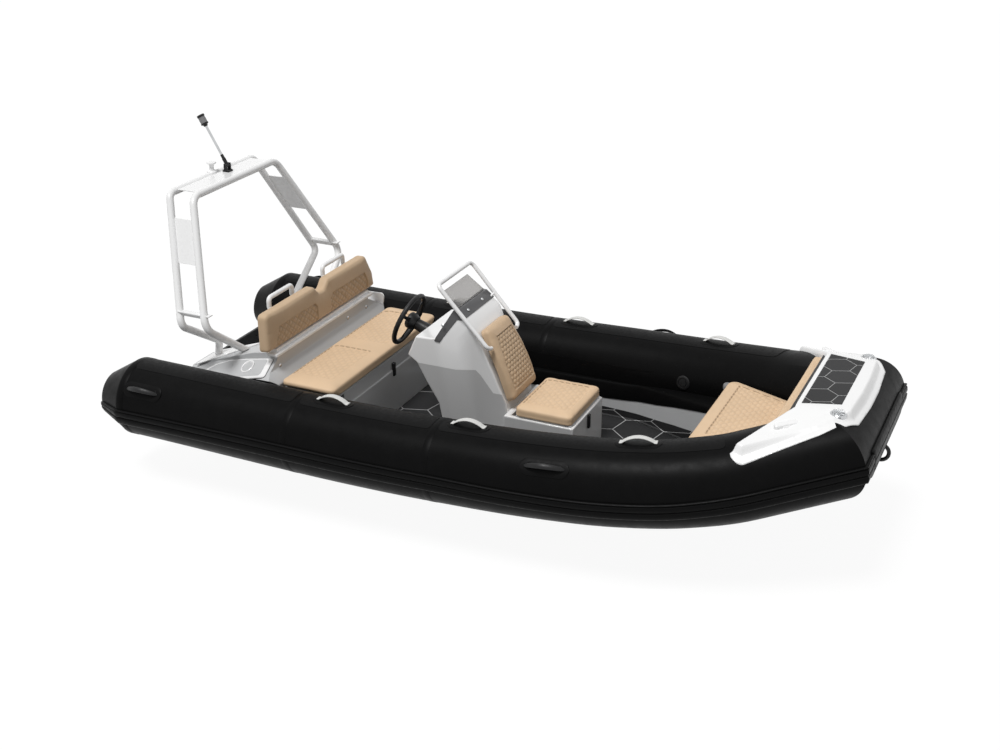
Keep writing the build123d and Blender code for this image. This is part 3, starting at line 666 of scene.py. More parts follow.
class BOAT_OT_stage(Dresser):
    """Camera, lamps, sky and floor"""

    bl_idname = "boat.stage"
    bl_label = "Studio"

    def make(self, sizes):
        scene = bpy.context.scene
        scene.view_settings.view_transform = "Standard"
        camera = bpy.data.objects.new("camera", bpy.data.cameras.new("camera"))
        camera.data.lens, camera.data.sensor_width = sizes.lens, 36.0
        camera.location = (5.52366, -7.61219, 4.25797)
        camera.rotation_euler = Euler((65.666 * DEG, 0, 24.628 * DEG))
        camera.data.clip_end = 200
        scene.collection.objects.link(camera)
        scene.camera = camera
        lamp = bpy.data.lights.new("key", "SUN")
        lamp.energy, lamp.angle = 2.25, 18 * DEG
        holder = bpy.data.objects.new("key", lamp)
        holder.rotation_euler = Vector((-0.12, -0.40, 0.91)).to_track_quat("Z", "Y").to_euler()
        scene.collection.objects.link(holder)
        self.sky(scene)
        self.floor(sizes)

    def sky(self, scene):
        """White to the camera and in reflections, dim grey as light."""
        world = bpy.data.worlds.new("studio")
        world.use_nodes = True
        nodes, links = world.node_tree.nodes, world.node_tree.links
        dim = nodes["Background"]
        dim.inputs["Color"].default_value = (1.0, 1.0, 1.0, 1.0)
        dim.inputs["Strength"].default_value = 0.36
        white = nodes.new("ShaderNodeBackground")
        white.inputs["Color"].default_value = (1.0, 1.0, 1.0, 1.0)
        white.inputs["Strength"].default_value = 1.0
        seen = self.seen(nodes, links)
        mix = nodes.new("ShaderNodeMixShader")
        links.new(seen, mix.inputs[0])
        links.new(dim.outputs[0], mix.inputs[1])
        links.new(white.outputs[0], mix.inputs[2])
        links.new(mix.outputs[0], nodes["World Output"].inputs["Surface"])
        scene.world = world

    def seen(self, nodes, links):
        """1 where the ray comes from the camera, a reflection or a clear piece."""
        path = nodes.new("ShaderNodeLightPath")
        total = path.outputs["Is Camera Ray"]
        for name in ("Is Glossy Ray", "Is Transmission Ray"):
            top = nodes.new("ShaderNodeMath")
            top.operation = "MAXIMUM"
            links.new(total, top.inputs[0])
            links.new(path.outputs[name], top.inputs[1])
            total = top.outputs[0]
        return total

    def floor(self, sizes):
        """A wide disc that looks white and keeps a faint shadow, and throws little light up."""
        a = np.linspace(0, 2 * math.pi, 96, endpoint=False)
        rings = np.array([0.01, 3.0, 8.0, 20.0, 60.0])[:, None, None]
        grid = rings * np.stack([np.cos(a), np.sin(a), 0 * a], -1) + (2.0, 0, 0)
        grid[..., 2] = -sizes.floor_drop
        points, faces = skin(grid, caps=False)
        mesh = bpy.data.meshes.new("studio_floor")
        mesh.from_pydata(points, [], faces)
        floor = bpy.data.objects.new("studio_floor", mesh)
        bpy.context.scene.collection.objects.link(floor)
        material = bpy.data.materials.new("studio_floor")
        material.use_nodes = True
        nodes, links = material.node_tree.nodes, material.node_tree.links
        dark, pale = nodes.new("ShaderNodeBsdfDiffuse"), nodes.new("ShaderNodeBsdfDiffuse")
        dark.inputs["Color"].default_value = (0.30, 0.30, 0.30, 1)
        pale.inputs["Color"].default_value = (0.09, 0.09, 0.09, 1)
        glow = nodes.new("ShaderNodeEmission")
        glow.inputs["Strength"].default_value = 0.93
        add, mix = nodes.new("ShaderNodeAddShader"), nodes.new("ShaderNodeMixShader")
        links.new(pale.outputs[0], add.inputs[0])
        links.new(glow.outputs[0], add.inputs[1])
        links.new(self.seen(nodes, links), mix.inputs[0])
        links.new(dark.outputs[0], mix.inputs[1])
        links.new(add.outputs[0], mix.inputs[2])
        links.new(mix.outputs[0], nodes["Material Output"].inputs["Surface"])
        mesh.materials.append(material)


# ---- tubes -----------------------------------------------------------------------------------


class BOAT_OT_tubes(Dresser):
    """The collar of buoyancy tubes with its grip panels and seam tapes"""

    bl_idname = "boat.tubes"
    bl_label = "Buoyancy tubes"

    def make(self, sizes):
        angles = np.linspace(0, 360, sizes.around, endpoint=False)
        xs = np.concatenate([[CONE_END, -0.424], np.linspace(-0.41, -0.23, 5),
                             [-0.22, -0.212, -0.2], np.linspace(-0.1, 2.0, 15),
                             np.linspace(2.08, 3.88, 46)])
        rows = on_tube(xs[:, None], angles[None])
        rows = np.concatenate([rows, to_mitre(rows[-1:])])
        rows[0] = tube_centre(CONE_END) + (rows[0] - tube_centre(CONE_END)) * 0.9
        nose = rows[-1].copy()
        nose[:, 1] = 0
        half = np.concatenate([rows, nose[None]])
        other = (half[:-1] * (1, -1, 1))[::-1]
        piece("tube_skin", [skin(np.concatenate([half, other]))], "tube", 28,
              stands_for=("tube_port", "tube_starboard"))
        panels, seams = [], []
        for side in SIDES:
            for x0, x1 in ((-0.17, 1.048), (1.096, 2.028), (2.076, 3.80)):
                panels.append(tube_patch(x0, x1, 90.0, half=0.0885, corner=0.035,
                                         lift=sizes.panel_lift, side=side,
                                         nu=int((x1 - x0) / 0.04) + 4))
            for x in (1.072, 2.052):
                seams.append(self.ring(x, 0.045, 0.0012, side))
            seams.append(self.ring(-0.19, 0.05, 0.0018, side))
        piece("tube_grip_panels", panels, "panel", 50)
        piece("tube_seam_tapes", seams, "tube", 50)

    def ring(self, x, width, lift, side):
        """A tape round the tube: a flat band whose edges fall to the skin."""
        angles = np.linspace(0, 360, 96, endpoint=False)
        half = width / 2
        rows = [on_tube(np.full(96, x + dx), angles, np.full(96, h), side)
                for dx, h in ((-half, -0.004), (-half, lift * 0.5), (-half + 0.002, lift),
                              (half - 0.002, lift), (half, lift * 0.5), (half, -0.004))]
        return skin(np.array(rows), wrap_u=True)


STRAKE_LINE = np.array([[-0.45, 1.5], [-0.2, 1.5], [0.4, 5.0], [1.0, 7.5], [2.05, 6.5],
                        [2.9, 1.0], [3.4, 0.5], [3.82, 6.0], [4.0, 11.5], [4.3, 20.0]])


class BOAT_OT_strakes(Dresser):
    """Rubbing strakes down both sides, and the pad across the nose"""

    bl_idname = "boat.strakes"
    bl_label = "Rubbing strakes"

    def make(self, sizes):
        t = sizes.strake_thick
        section = np.array([[0.6, -0.004], [0.6, 0.45 * t], [0.2, 0.8 * t], [-0.6, 1.0 * t],
                            [-1.6, 0.95 * t], [-2.2, 0.6 * t], [-3.0, 0.55 * t], [-3.6, 0.85 * t],
                            [-5.0, t], [-9.4, t], [-10.6, 0.8 * t], [-11.2, 0.45 * t],
                            [-12.6, 0.45 * t], [-13.2, 0.8 * t], [-14.4, t], [-21.0, t],
                            [-22.6, 0.85 * t], [-23.6, 0.5 * t], [-24.0, -0.004]])
        xs = np.concatenate([np.linspace(-0.425, -0.215, 8), np.linspace(-0.12, 2.0, 30),
                             np.linspace(2.08, 3.88, 50)])
        top = np.interp(xs, *STRAKE_LINE.T)
        kernel = np.ones(9) / 9
        top = np.convolve(np.pad(top, 4, mode="edge"), kernel, "valid")
        rows = np.array([on_tube(np.full(len(section), x), section[:, 0] + a, section[:, 1])
                         for x, a in zip(xs, top)])
        rows[0] = rows[0].mean(0) + (rows[0] - rows[0].mean(0)) * 0.8
        mitre = to_mitre(rows[-1])
        end = mitre.copy()
        end[:, 1] = 0.445
        piece("rub_strakes", pair(skin(np.concatenate([rows, [mitre, end]]))), "strake",
              40, stands_for=("strake_port", "strake_starboard"))

        a = np.array([-19.0, -19.0, -18.0, -16.5, -8.0, -7.0, -6.0, -5.0, 5.0, 6.0, 7.0, 8.0,
                      17.0, 18.8, 20.0, 20.0]) * DEG
        h = np.array([-0.004, 0.008, 0.014, 0.018, 0.018, 0.013, 0.013, 0.018, 0.018, 0.013,
                      0.013, 0.018, 0.018, 0.014, 0.008, -0.004])
        ys = np.array([-0.44, -0.437, -0.428, -0.4, -0.2, 0.0, 0.2, 0.4, 0.428, 0.437, 0.44])
        drop = np.array([0.6, 0.25, 0.06, 0, 0, 0, 0, 0, 0.06, 0.25, 0.6]) * 0.018
        r = R + h - drop[:, None] * (h > 0)
        grid = np.stack([NOSE_X + r * np.cos(a), np.broadcast_to(ys[:, None], r.shape),
                         NOSE_Z + r * np.sin(a)], -1)
        piece("nose_pad", [skin(grid)], "strake", 40,
              stands_for=("nose_fender",))
        dress("black", "tow_ring")


class BOAT_OT_tube_fittings(Dresser):
    """Arched straps on the tubes' tops, grips on their sides and the air valves"""

    bl_idname = "boat.tube_fittings"
    bl_label = "Handles and valves"

    def make(self, sizes):
        straps, patches, wells, bars = [], [], [], []
        for side in SIDES:
            for x in (1.306, 2.25, 3.311):
                straps.append(self.strap(x, side))
                patches.append(tube_patch(x - 0.140, x + 0.140, 90.0, half=0.056, corner=0.055,
                                          lift=0.006, side=side))
            for x, angle in ((-0.022, 36.0), (2.80, 38.5)):
                patches.append(tube_patch(x - 0.147, x + 0.147, angle, half=0.053, corner=0.052,
                                          lift=0.005, side=side))
                wells.append(tube_patch(x - 0.112, x + 0.112, angle, half=0.030, corner=0.029,
                                        lift=0.0065, side=side))
                bars.append(self.bar(x, angle, side))
        made = solid("top_straps", straps, 50)
        self.map_length(made)
        fit(made, finishes()["webbing"],
            stands_for=("tube_handles_port", "tube_handles_starboard"))
        piece("handle_patches", patches, "strake", 50)
        piece("grip_wells", wells, "tube", 50)
        piece("side_grips", bars, "black", 50,
              stands_for=("tube_grips_port", "tube_grips_starboard"))
        valve = [(0.048, 0), (0.048, 0.006), (0.043, 0.009), (0.034, 0.009), (0.032, 0.005),
                 (0.026, 0.005), (0.024, 0.012), (0.006, 0.013), (0, 0.013)]
        valves = [turned(valve, on_tube(x, angle, -0.004, side), self.outwards(x, angle, side), 40)
                  for side in SIDES for x, angle in ((3.159, 170.0), (1.5, 168.0))]
        piece("air_valves", valves, "black", 40)

    def outwards(self, x, angle, side):
        """The direction off the tube's skin: out cos a + up sin a."""
        _, _, out, up = tube_frame(np.array(x))
        return (math.cos(angle * DEG) * out + math.sin(angle * DEG) * up) * (1, side, 1)

    def strap(self, x, side):
        """A flat strap carried over an arch: its lift is a cosine hump over the patch."""
        s, foot, low, rise = np.linspace(-1, 1, 29), 0.86, 0.009, 0.034
        lift = low + rise * np.cos(np.clip(s, -foot, foot) / foot * math.pi / 2) ** 0.8
        path = on_tube(x + 0.112 * s, 90.0, lift, side)
        w, t = 0.020, 0.0030
        section = rounded([(-w, -t), (w, -t), (w, t), (-w, t)], 0.002, steps=3)
        return carry(path, section, up=(0, 0, 1))

    def bar(self, x, angle, side):
        """A moulded grip: an oval section along a low hump, thinner towards its ends."""
        s = np.linspace(-1, 1, 21)
        path = on_tube(x + 0.120 * s, angle, 0.006 + 0.046 * (1 - s**2), side)
        size = 0.35 + 0.65 * np.sqrt(np.maximum(1 - s**2, 0))
        return carry(path, circle(0.017, 16, 0.42), up=self.outwards(x, angle, side), size=size)

    def map_length(self, made):
        """UV from x, so that the ribs run across the straps."""
        mesh = made.data
        uv = mesh.uv_layers.new(name="length")
        co, corners = np.zeros(len(mesh.vertices) * 3), np.zeros(len(mesh.loops), int)
        mesh.vertices.foreach_get("co", co)
        mesh.loops.foreach_get("vertex_index", corners)
        uv.data.foreach_set("uv", (co.reshape(-1, 3)[corners, :2] * 6.0).ravel())


# ---- cushions --------------------------------------------------------------------------------


def line_distance(x, y, line):
    """Distance from each (x, y) to an open line of points."""
    best = np.full(np.shape(x), 1e9)
    for (x0, y0), (x1, y1) in zip(line, line[1:]):
        ex, ey = x1 - x0, y1 - y0
        t = np.clip(((x - x0) * ex + (y - y0) * ey) / (ex * ex + ey * ey), 0, 1)
        best = np.minimum(best, np.hypot(x - x0 - t * ex, y - y0 - t * ey))
    return best


def polygon_distance(x, y, corners):
    """Distance from (x, y) to the outline, negative inside, where a ray towards +x crosses
    the outline an odd number of times."""
    c = np.asarray(corners, float)
    inside = np.zeros(x.shape, bool)
    for (x0, y0), (x1, y1) in zip(c, np.roll(c, -1, 0)):
        rise = y1 - y0
        at = x0 + (y - y0) * (x1 - x0) / np.where(rise == 0, 1e-12, rise)
        inside ^= ((y0 > y) != (y1 > y)) & (x < at)
    best = line_distance(x, y, np.vstack([c, c[:1]]))
    return np.where(inside, -best, best)


def diamonds(u, v, wide, tall):
    """Quilting in diamonds: distance to the nearer of two slanting sets of lines, 0 on a
    channel and 1 in a diamond's middle."""
    p, q = u / wide, v / tall
    a, b = np.abs((p + q) % 1 - 0.5) * 2, np.abs((p - q) % 1 - 0.5) * 2
    return 1 - np.maximum(a, b)


def hexagons(u, v, wide, tall):
    """Quilting in hexagons: 0 on a channel and 1 in a hexagon's middle. Each point is moved to
    the nearer of two offset rectangular lattices."""
    p, q, h = u / wide, v / tall, math.sqrt(3)
    ax, ay = p % 1 - 0.5, q % h - 0.5 * h
    bx, by = (p + 0.5) % 1 - 0.5, (q + 0.5 * h) % h - 0.5 * h
    near = ax**2 + ay**2 < bx**2 + by**2
    x, y = np.abs(np.where(near, ax, bx)), np.abs(np.where(near, ay, by))
    return 1 - 2 * np.maximum(x, x * 0.5 + y * h / 2)


FILL_FRAMES = 20
PRESSURE = 4.0


class Cushion:
    """One cushion: a closed block over a plane, filled as cloth, then quilted."""

    CROWN_RUN = 0.11
    SEAM_HALF, SEAM_DEPTH = 0.0035, 0.003
    STITCH_PITCH, STITCH_HALF, STITCH_DEPTH = 0.044, 0.0040, 0.002

    def __init__(self, name, node, body, plane, corners, radii, thick, voxel, panels, quilt,
                 edge=0.016, crown=0.010, flare=0.0, stitch_shade_lines=(), deep=1.0, bow=0.0):
        self.name, self.node, self.body = name, node, body
        self.axes = [np.asarray(v, float) for v in plane]
        self.corners, self.radii, self.thick = corners, radii, thick
        self.voxel, self.panels, self.quilt = voxel, panels, quilt
        self.edge, self.crown, self.flare, self.stitch_shade_lines = edge, crown, flare, stitch_shade_lines
        self.deep, self.bow = deep, bow

    def block(self):
        """The cover before it's filled: the outline drawn in at its foot and rounded on top."""
        e, t = self.edge, self.thick
        foot = [(0.010, 0.0), (0.004, 0.004), (0.001, 0.012), (0.0, 0.5 * t)]
        levels = foot + soft_levels(0.6 * t, t, e, 4)[1:]
        points, faces = slab(self.corners, self.radii, levels, self.axes, 7)
        _, v, h = self.local(points)
        points = points - (self.flare * v * (1 - step(h, 0, 0.6 * t)))[:, None] * self.axes[2]
        made = solid(self.name, [(points, faces)])
        remesh = made.modifiers.new("even", "REMESH")
        remesh.mode, remesh.voxel_size = "VOXEL", self.voxel
        self.bake(made)
        self.object = made
        self.rest = self.points()

    def bake(self, made):
        """Applies the piece's modifiers to its mesh."""
        bpy.context.view_layer.update()
        deps = bpy.context.evaluated_depsgraph_get()
        mesh = bpy.data.meshes.new_from_object(made.evaluated_get(deps))
        made.modifiers.clear()
        old, made.data = made.data, mesh
        mesh.name = self.name
        if old.users == 0:
            bpy.data.meshes.remove(old)

    def points(self):
        """The mesh's points as an (n, 3) table."""
        co = np.zeros(len(self.object.data.vertices) * 3)
        self.object.data.vertices.foreach_get("co", co)
        return co.reshape(-1, 3)

    def local(self, co):
        """Points in the cushion's own plane: across, up and out."""
        o, ux, uy, un = self.axes
        d = co - o
        return d @ ux, d @ uy, d @ un

    def fill(self):
        """Cloth under inner pressure, without gravity."""
        cloth = self.object.modifiers.new("filling", "CLOTH")
        cloth.settings.use_pressure = True
        cloth.settings.uniform_pressure_force = PRESSURE
        cloth.settings.quality = 4
        cloth.settings.effector_weights.gravity = 0.0
        cloth.point_cache.frame_start, cloth.point_cache.frame_end = 1, FILL_FRAMES

    def settle(self, swell):
        """Keeps the filled shape, moved by at most the swell and never through its own foot."""
        self.bake(self.object)
        now = self.points()
        move = now - self.rest
        far = np.linalg.norm(move, axis=1, keepdims=True)
        move *= swell * np.tanh(far / swell) / np.maximum(far, 1e-9)
        _, _, h = self.local(self.rest)
        up = self.axes[3]
        rise = move @ up
        move -= np.where(h < 0.35 * self.thick, rise, 0)[:, None] * up
        side = move - (move @ up)[:, None] * up
        move -= side * (0.35 + 0.65 * (1 - step(h, 0, self.thick * 0.4)))[:, None]
        self.write(self.rest + move)

    def write(self, co):
        """Moves the mesh's points to the table."""
        self.object.data.vertices.foreach_set("co", np.asarray(co, float).ravel())
        self.object.data.update()

    def sew(self, sizes):
        """One subdivision, then the crown, the sunk panels and their quilting, and the channel
        attribute that carries painted shade into the vinyl.
        """
        smooth = self.object.modifiers.new("smooth", "SUBSURF")
        smooth.levels = smooth.render_levels = 1
        self.bake(self.object)
        mesh = self.object.data
        co = self.points()
        normals = np.zeros(len(co) * 3)
        mesh.vertex_normals.foreach_get("vector", normals)
        normals = normals.reshape(-1, 3)
        u, v, h = self.local(co)
        face = step(normals @ self.axes[3], 0.6, 0.92)
        outline = polygon_distance(u, v, rounded(self.corners, self.radii, 0.0, 5))
        rise = self.crown * step(-outline, 0.0, self.CROWN_RUN) * face
        channel = np.zeros(len(co))
        for panel in self.panels:
            d = polygon_distance(u, v, panel)
            inside = step(-d, 0.0, 0.006)
            puff = np.clip(self.quilt(u, v), 0, 1)
            rise -= face * inside * (sizes.recess_depth + self.deep * sizes.quilt_depth
                                     * (1 - puff**0.7))
            edge = np.exp(-((d + 0.002) / self.SEAM_HALF) ** 2)
            if not self.stitch_shade_lines:
                rise -= face * edge * self.SEAM_DEPTH
            # painted shade: the seam edges and the quilting's channels are darkened through the
            # channel attribute
            dark = edge * (0.06 if self.stitch_shade_lines else 0.45)
            crease_shade = inside * (1 - puff) ** 4 * 0.16 * self.deep
            channel = np.maximum(channel, face * np.maximum(crease_shade, dark))
        # painted shadow along the panels' aft and port edges, where the sunk panel's step is in
        # shade; the dashes are partly the real stitching
        for line in self.stitch_shade_lines:
            wave = np.cos((u + v) * 2 * math.pi / self.STITCH_PITCH)
            dash = 0.5 + 0.5 * np.tanh(4 * wave + 3.0)
            stitch_shade = np.exp(-(line_distance(u, v, line) / self.STITCH_HALF) ** 2) * dash
            rise -= face * stitch_shade * self.STITCH_DEPTH
            channel = np.maximum(channel, face * stitch_shade * 0.95)
        top = max(c[1] for c in self.corners)
        rise += self.bow * np.sin(math.pi * np.clip(v / top, 0, 1))
        self.write(co + rise[:, None] * self.axes[3])
        attribute = mesh.attributes.new("channel", "FLOAT", "POINT")
        attribute.data.foreach_set("value", channel.astype(np.float32))
        mesh.shade_smooth()


def box_corners(u0, u1, v0, v1):
    """The corners of a rectangle, anticlockwise."""
    return [(u0, v0), (u1, v0), (u1, v1), (u0, v1)]


def lean(x0, z0, x1, z1):
    """A plane that leans: origin (x0, 0, z0), across to port, up towards (x1, z1), and out
    towards the bow."""
    up = unit((x1 - x0, 0, z1 - z0))
    return ((x0, 0, z0), (0, 1, 0), up, np.cross((0, 1, 0), up))


def cushions():
    """The boat's six cushions."""
    bench = [box_corners(0.812, 1.118, -0.610, -0.095), box_corners(0.812, 1.138, 0.055, 0.610)]
    bench = [rounded(panel, 0.02) for panel in bench]
    # lines of painted shadow and stitching along the bench panels' aft and port edges
    bench_stitch_shade = [[(0.812, -0.600), (0.812, -0.105)], [(0.812, 0.065), (0.812, 0.600)],
            [(0.822, -0.095), (1.108, -0.095)], [(0.822, 0.610), (1.128, 0.610)]]

    def small(u, v):
        return hexagons(v, u, 0.060, 0.034)

    back_plane = lean(0.7005, 0.653, 0.690, 0.908)
    back_origin = np.array(back_plane[0]) - np.array(back_plane[3]) * 0.074
    back = [(-0.700, 0.0), (0.702, 0.0), (0.706, 0.015), (0.693, 0.110), (0.612, 0.262),
            (0.090, 0.262), (0.034, 0.205), (-0.034, 0.205), (-0.090, 0.262), (-0.690, 0.262),
            (-0.702, 0.020)]
    wing = [(0.085, 0.006), (0.585, 0.006), (0.600, 0.030), (0.598, 0.075), (0.560, 0.148),
            (0.115, 0.148), (0.088, 0.120)]
    pad_plane = lean(2.2263, 0.397, 2.0133, 0.855)
    pad_origin = np.array(pad_plane[0]) - np.array(pad_plane[3]) * 0.058
    pad = [(-0.142, 0.062), (0.142, 0.062), (0.153, 0.085), (0.148, 0.250), (0.113, 0.430),
           (-0.113, 0.430), (-0.148, 0.250), (-0.153, 0.085)]
    shell = [(-0.190, 0.0), (0.190, 0.0), (0.194, 0.120), (0.188, 0.300), (0.163, 0.503),
             (-0.163, 0.503), (-0.188, 0.300), (-0.194, 0.120)]
    jockey = rounded(box_corners(2.288, 2.606, -0.200, 0.200), 0.018)
    bow = [(3.458, -0.494), (3.968, -0.286), (3.968, 0.286), (3.458, 0.494)]
    top = [(3.553, -0.378), (3.872, -0.252), (3.872, 0.252), (3.553, 0.378)]
    return [
        Cushion("bench_cushion", "aft_seat_cushion", "aft_seat", ((0, 0, 0.4363), *FLAT[1:]),
                box_corners(0.789, 1.196, -0.730, 0.730), 0.045, thick=0.062, voxel=0.0085,
                panels=bench, quilt=small, flare=0.06, stitch_shade_lines=bench_stitch_shade),
        Cushion("backrest_pad", "aft_backrest", "boat", (back_origin, *back_plane[1:]), back,
                [0.02, 0.02, 0.02, 0.05, 0.04, 0.03, 0.03, 0.03, 0.03, 0.035, 0.02],
                thick=0.072, voxel=0.0085, panels=[wing, [(-u, v) for u, v in wing][::-1]],
                quilt=lambda u, v: diamonds(np.abs(u), v, 0.060, 0.048), edge=0.020,
                crown=0.005, deep=2.2),
        Cushion("console_pad", "console_cushion", "boat", (pad_origin, *pad_plane[1:]), shell,
                [0.032, 0.032, 0.06, 0.06, 0.032, 0.032, 0.06, 0.06], thick=0.058,
                voxel=0.0065, panels=[pad], quilt=lambda u, v: hexagons(u, v, 0.040, 0.032),
                edge=0.02, crown=0.014, deep=1.3, bow=0.016),
        Cushion("jockey_seat_pad", "jockey_cushion", "jockey_seat", ((0, 0, 0.3323), *FLAT[1:]),
                box_corners(2.254, 2.652, -0.271, 0.271), 0.040, thick=0.062, voxel=0.0068,
                panels=[jockey], quilt=small,
                stitch_shade_lines=[[(2.288, -0.19), (2.288, 0.19)], [(2.30, 0.200), (2.594, 0.200)]]),
        Cushion("bow_seat_pad", "bow_cushion", "bow_seat", ((0, 0, 0.4523), *FLAT[1:]), bow,
                [0.012, 0.03, 0.03, 0.055], thick=0.062, voxel=0.0080, panels=[top], quilt=small,
                stitch_shade_lines=[[(3.553, -0.37), (3.553, 0.37)], [(3.56, 0.375), (3.866, 0.255)]]),
        Cushion("bow_back_pad", "bow_backpad", "boat",
                ((4.042, 0, 0.0), (0, -1, 0), (0, 0, 1), (-1, 0, 0)),
                [(-0.296, 0.534), (0.296, 0.534), (0.338, 0.62), (0.497, 0.762), (0.497, 0.773),
                 (-0.497, 0.773), (-0.497, 0.762), (-0.338, 0.62)],
                [0.02, 0.02, 0.03, 0.01, 0.012, 0.012, 0.01, 0.03], thick=0.056, voxel=0.0080,
                panels=[], quilt=small, edge=0.010, crown=0.004),
    ]


class BOAT_OT_cushions(Dresser):
    """Seat cushions, backrest and pads, filled and quilted"""

    bl_idname = "boat.cushions"
    bl_label = "Cushions"

    def make(self, sizes):
        scene = bpy.context.scene
        made = cushions()
        for cushion in made:
            cushion.block()
        for cushion in made:
            cushion.fill()
        for number in range(1, FILL_FRAMES + 1):
            scene.frame_set(number)
        for cushion in made:
            cushion.settle(sizes.swell)
        scene.frame_set(1)
        for cushion in made:
            cushion.sew(sizes)
            # the backrest and the console pad take the copy of the vinyl darkened with painted
            # shade
            finish = finishes()["shaded_vinyl" if cushion.deep > 1 else "vinyl"]
            fit(cushion.object, finish, cushion.body, (cushion.node,))


# ---- hull, stern and lockers -----------------------------------------------------------------


class BOAT_OT_hull(Dresser):
    """Hull, stern decks, lockers and cockpit foam"""

    bl_idname = "boat.hull"
    bl_label = "Hull and lockers"

    def make(self, sizes):
        dress("paint", "hull")
        dress("black", "transom_pad")
        for node, name, width, finish, slot in (
                ("stern_deck", "stern_moulding", 0.004, "paint", "hull_metal"),
                ("aft_locker", "bench_locker", 0.004, "paint", "hull_metal"),
                ("jockey_box", "jockey_seat_box", 0.008, "console", "moulding"),
                ("bow_locker", "bow_seat_box", 0.004, "paint", "hull_metal")):
            soften(node, name, width, finish)
        dress("paint", "aft_seat_lid", "jockey_lid", "bow_seat_lid")
        colours = bpy.context.scene.boat_colours
        tones = tuple(colours.foam), tuple(colours.line)
        foam = hex_foam("deck_foam", *tones, sizes.hexagon, turn=12.0, spread=(-0.6, 1.97))
        tread = hex_foam("step_tread", *tones, sizes.hexagon * 0.60, turn=12.0)
        for node, name, finish in (("floor_mat", "cockpit_foam", foam),
                                   ("bow_step_mat", "step_foam", tread)):
            fit(softened(node, name, 0.002, 1), finish, stands_for=(node,))
        piece("stern_corner_pods", pair(self.pod(0.0), self.cup()), "gelcoat", 30)
        # painted shade and reflection: grey paint over the middle of each white cap
        piece("stern_pod_painted_shade", pair(self.shaded_middle()), "paint", 30)
        piece("stern_pod_shadows", pair(self.pod(-0.006, 0.004)), "black", 30)
        piece("stern_bosses", self.bosses(), "steel", 30)
        upstand = slab([(0.600, 0.480), (0.735, 0.480), (0.750, 0.582), (0.600, 0.578)],
                       [0.006, 0.012, 0.024, 0.006], [(0, -0.005), (0, 0.004), (0.001, 0.005)],
                       ((0, 0.752, 0), (1, 0, 0), (0, 0, 1), (0, -1, 0)))
        piece("port_upstand", [upstand], "gelcoat", 30)
        flap = self.side_strip(0.004, lambda x, wall, top, foot, _: self.lap(x, top + 0.009) + [
            (wall + 0.006, top + 0.009), (wall - 0.004, top - 0.004), (wall - 0.004, foot)])
        piece("tube_inner_flaps", pair(flap), "tube", 40)
        coving = self.side_strip(0.003, lambda x, wall, top, foot, foam_top: [
            (wall - 0.016, 0.0262), (wall - 0.004, 0.034), (wall - 0.003, foam_top)])
        fit(solid("foam_coving", pair(coving), 40), foam)
        knobs = [turned([(0, -0.01), (0.030, -0.01), (0.030, 0.014), (0.024, 0.022), (0, 0.024)],
                        (3.446, 0.485 * side, 0.452), (0, 0, 1), 28) for side in SIDES]
        piece("seat_knobs", knobs, "grey", 40)

    SIDE = np.array([[1.21, 0.600, 0.250, 0.152, 0.087],
                     [1.60, 0.600, 0.250, 0.152, 0.087],
                     [2.55, 0.600, 0.268, 0.152, 0.087],
                     [2.70, 0.600, 0.270, 0.160, 0.081],
                     [2.80, 0.600, 0.279, 0.170, 0.075],
                     [2.96, 0.540, 0.293, 0.200, 0.087],
                     [3.09, 0.491, 0.304, 0.232, 0.100],
                     [3.24, 0.434, 0.317, 0.262, 0.110],
                     [3.39, 0.378, 0.330, 0.290, 0.115]])

    def lap(self, x, low):
        """Three points down the tube's inner side at x, ending at the height low."""
        down = on_tube(x, np.linspace(150, 240, 91), 0.003)
        turn = np.interp(-low, -down[:, 2], np.linspace(150, 240, 91))
        return [tuple(q[1:]) for q in on_tube(x, turn - np.array([24.0, 12.0, 0.0]), 0.003)]

    def side_strip(self, thick, line):
        """A sheet down the cockpit's port side: at each row of the table (x, wall, coaming's
        top, flap's foot, foam's top) a line of (y, z) points, and the same line moved by the
        thickness away from the cockpit."""
        rows = []
        for r in self.SIDE:
            yz = np.array(line(*r))
            run = unit(np.gradient(yz, axis=0))
            back = yz + thick * np.stack([-run[:, 1], run[:, 0]], -1)
            ring = np.concatenate([yz, back[::-1]])
            rows.append(np.column_stack([np.full(len(ring), r[0]), ring]))
        return skin(np.array(rows))

    SLOPE = -0.563

    def on_pod(self, outline, lift):
        """Outline points in plan laid on the corner's plane and lifted straight up."""
        x, y = outline[:, 0], outline[:, 1]
        z = 0.58 + self.SLOPE * (y - 0.60) + 0.22 * (x - 0.67)
        return np.stack([x, y, z + lift], -1)

    def pod(self, lift, grow=0.0):
        """A leaf-shaped cap: its outline in plan on each (inset, lift) level."""
        leaf = [(0.14, 0.682), (0.22, 0.630), (0.32, 0.603), (0.46, 0.600), (0.672, 0.606),
                (0.680, 0.745), (0.46, 0.752), (0.26, 0.735)]
        radii = [0.02, 0.06, 0.06, 0.08, 0.018, 0.018, 0.08, 0.06]
        levels = [(0, -0.012), (0, 0.004), (0.002, 0.008), (0.005, 0.010), (0.012, 0.010)]
        rings = [self.on_pod(rounded(leaf, radii, inset - grow, 7), h + lift)
                 for inset, h in levels]
        return skin(np.array(rings))

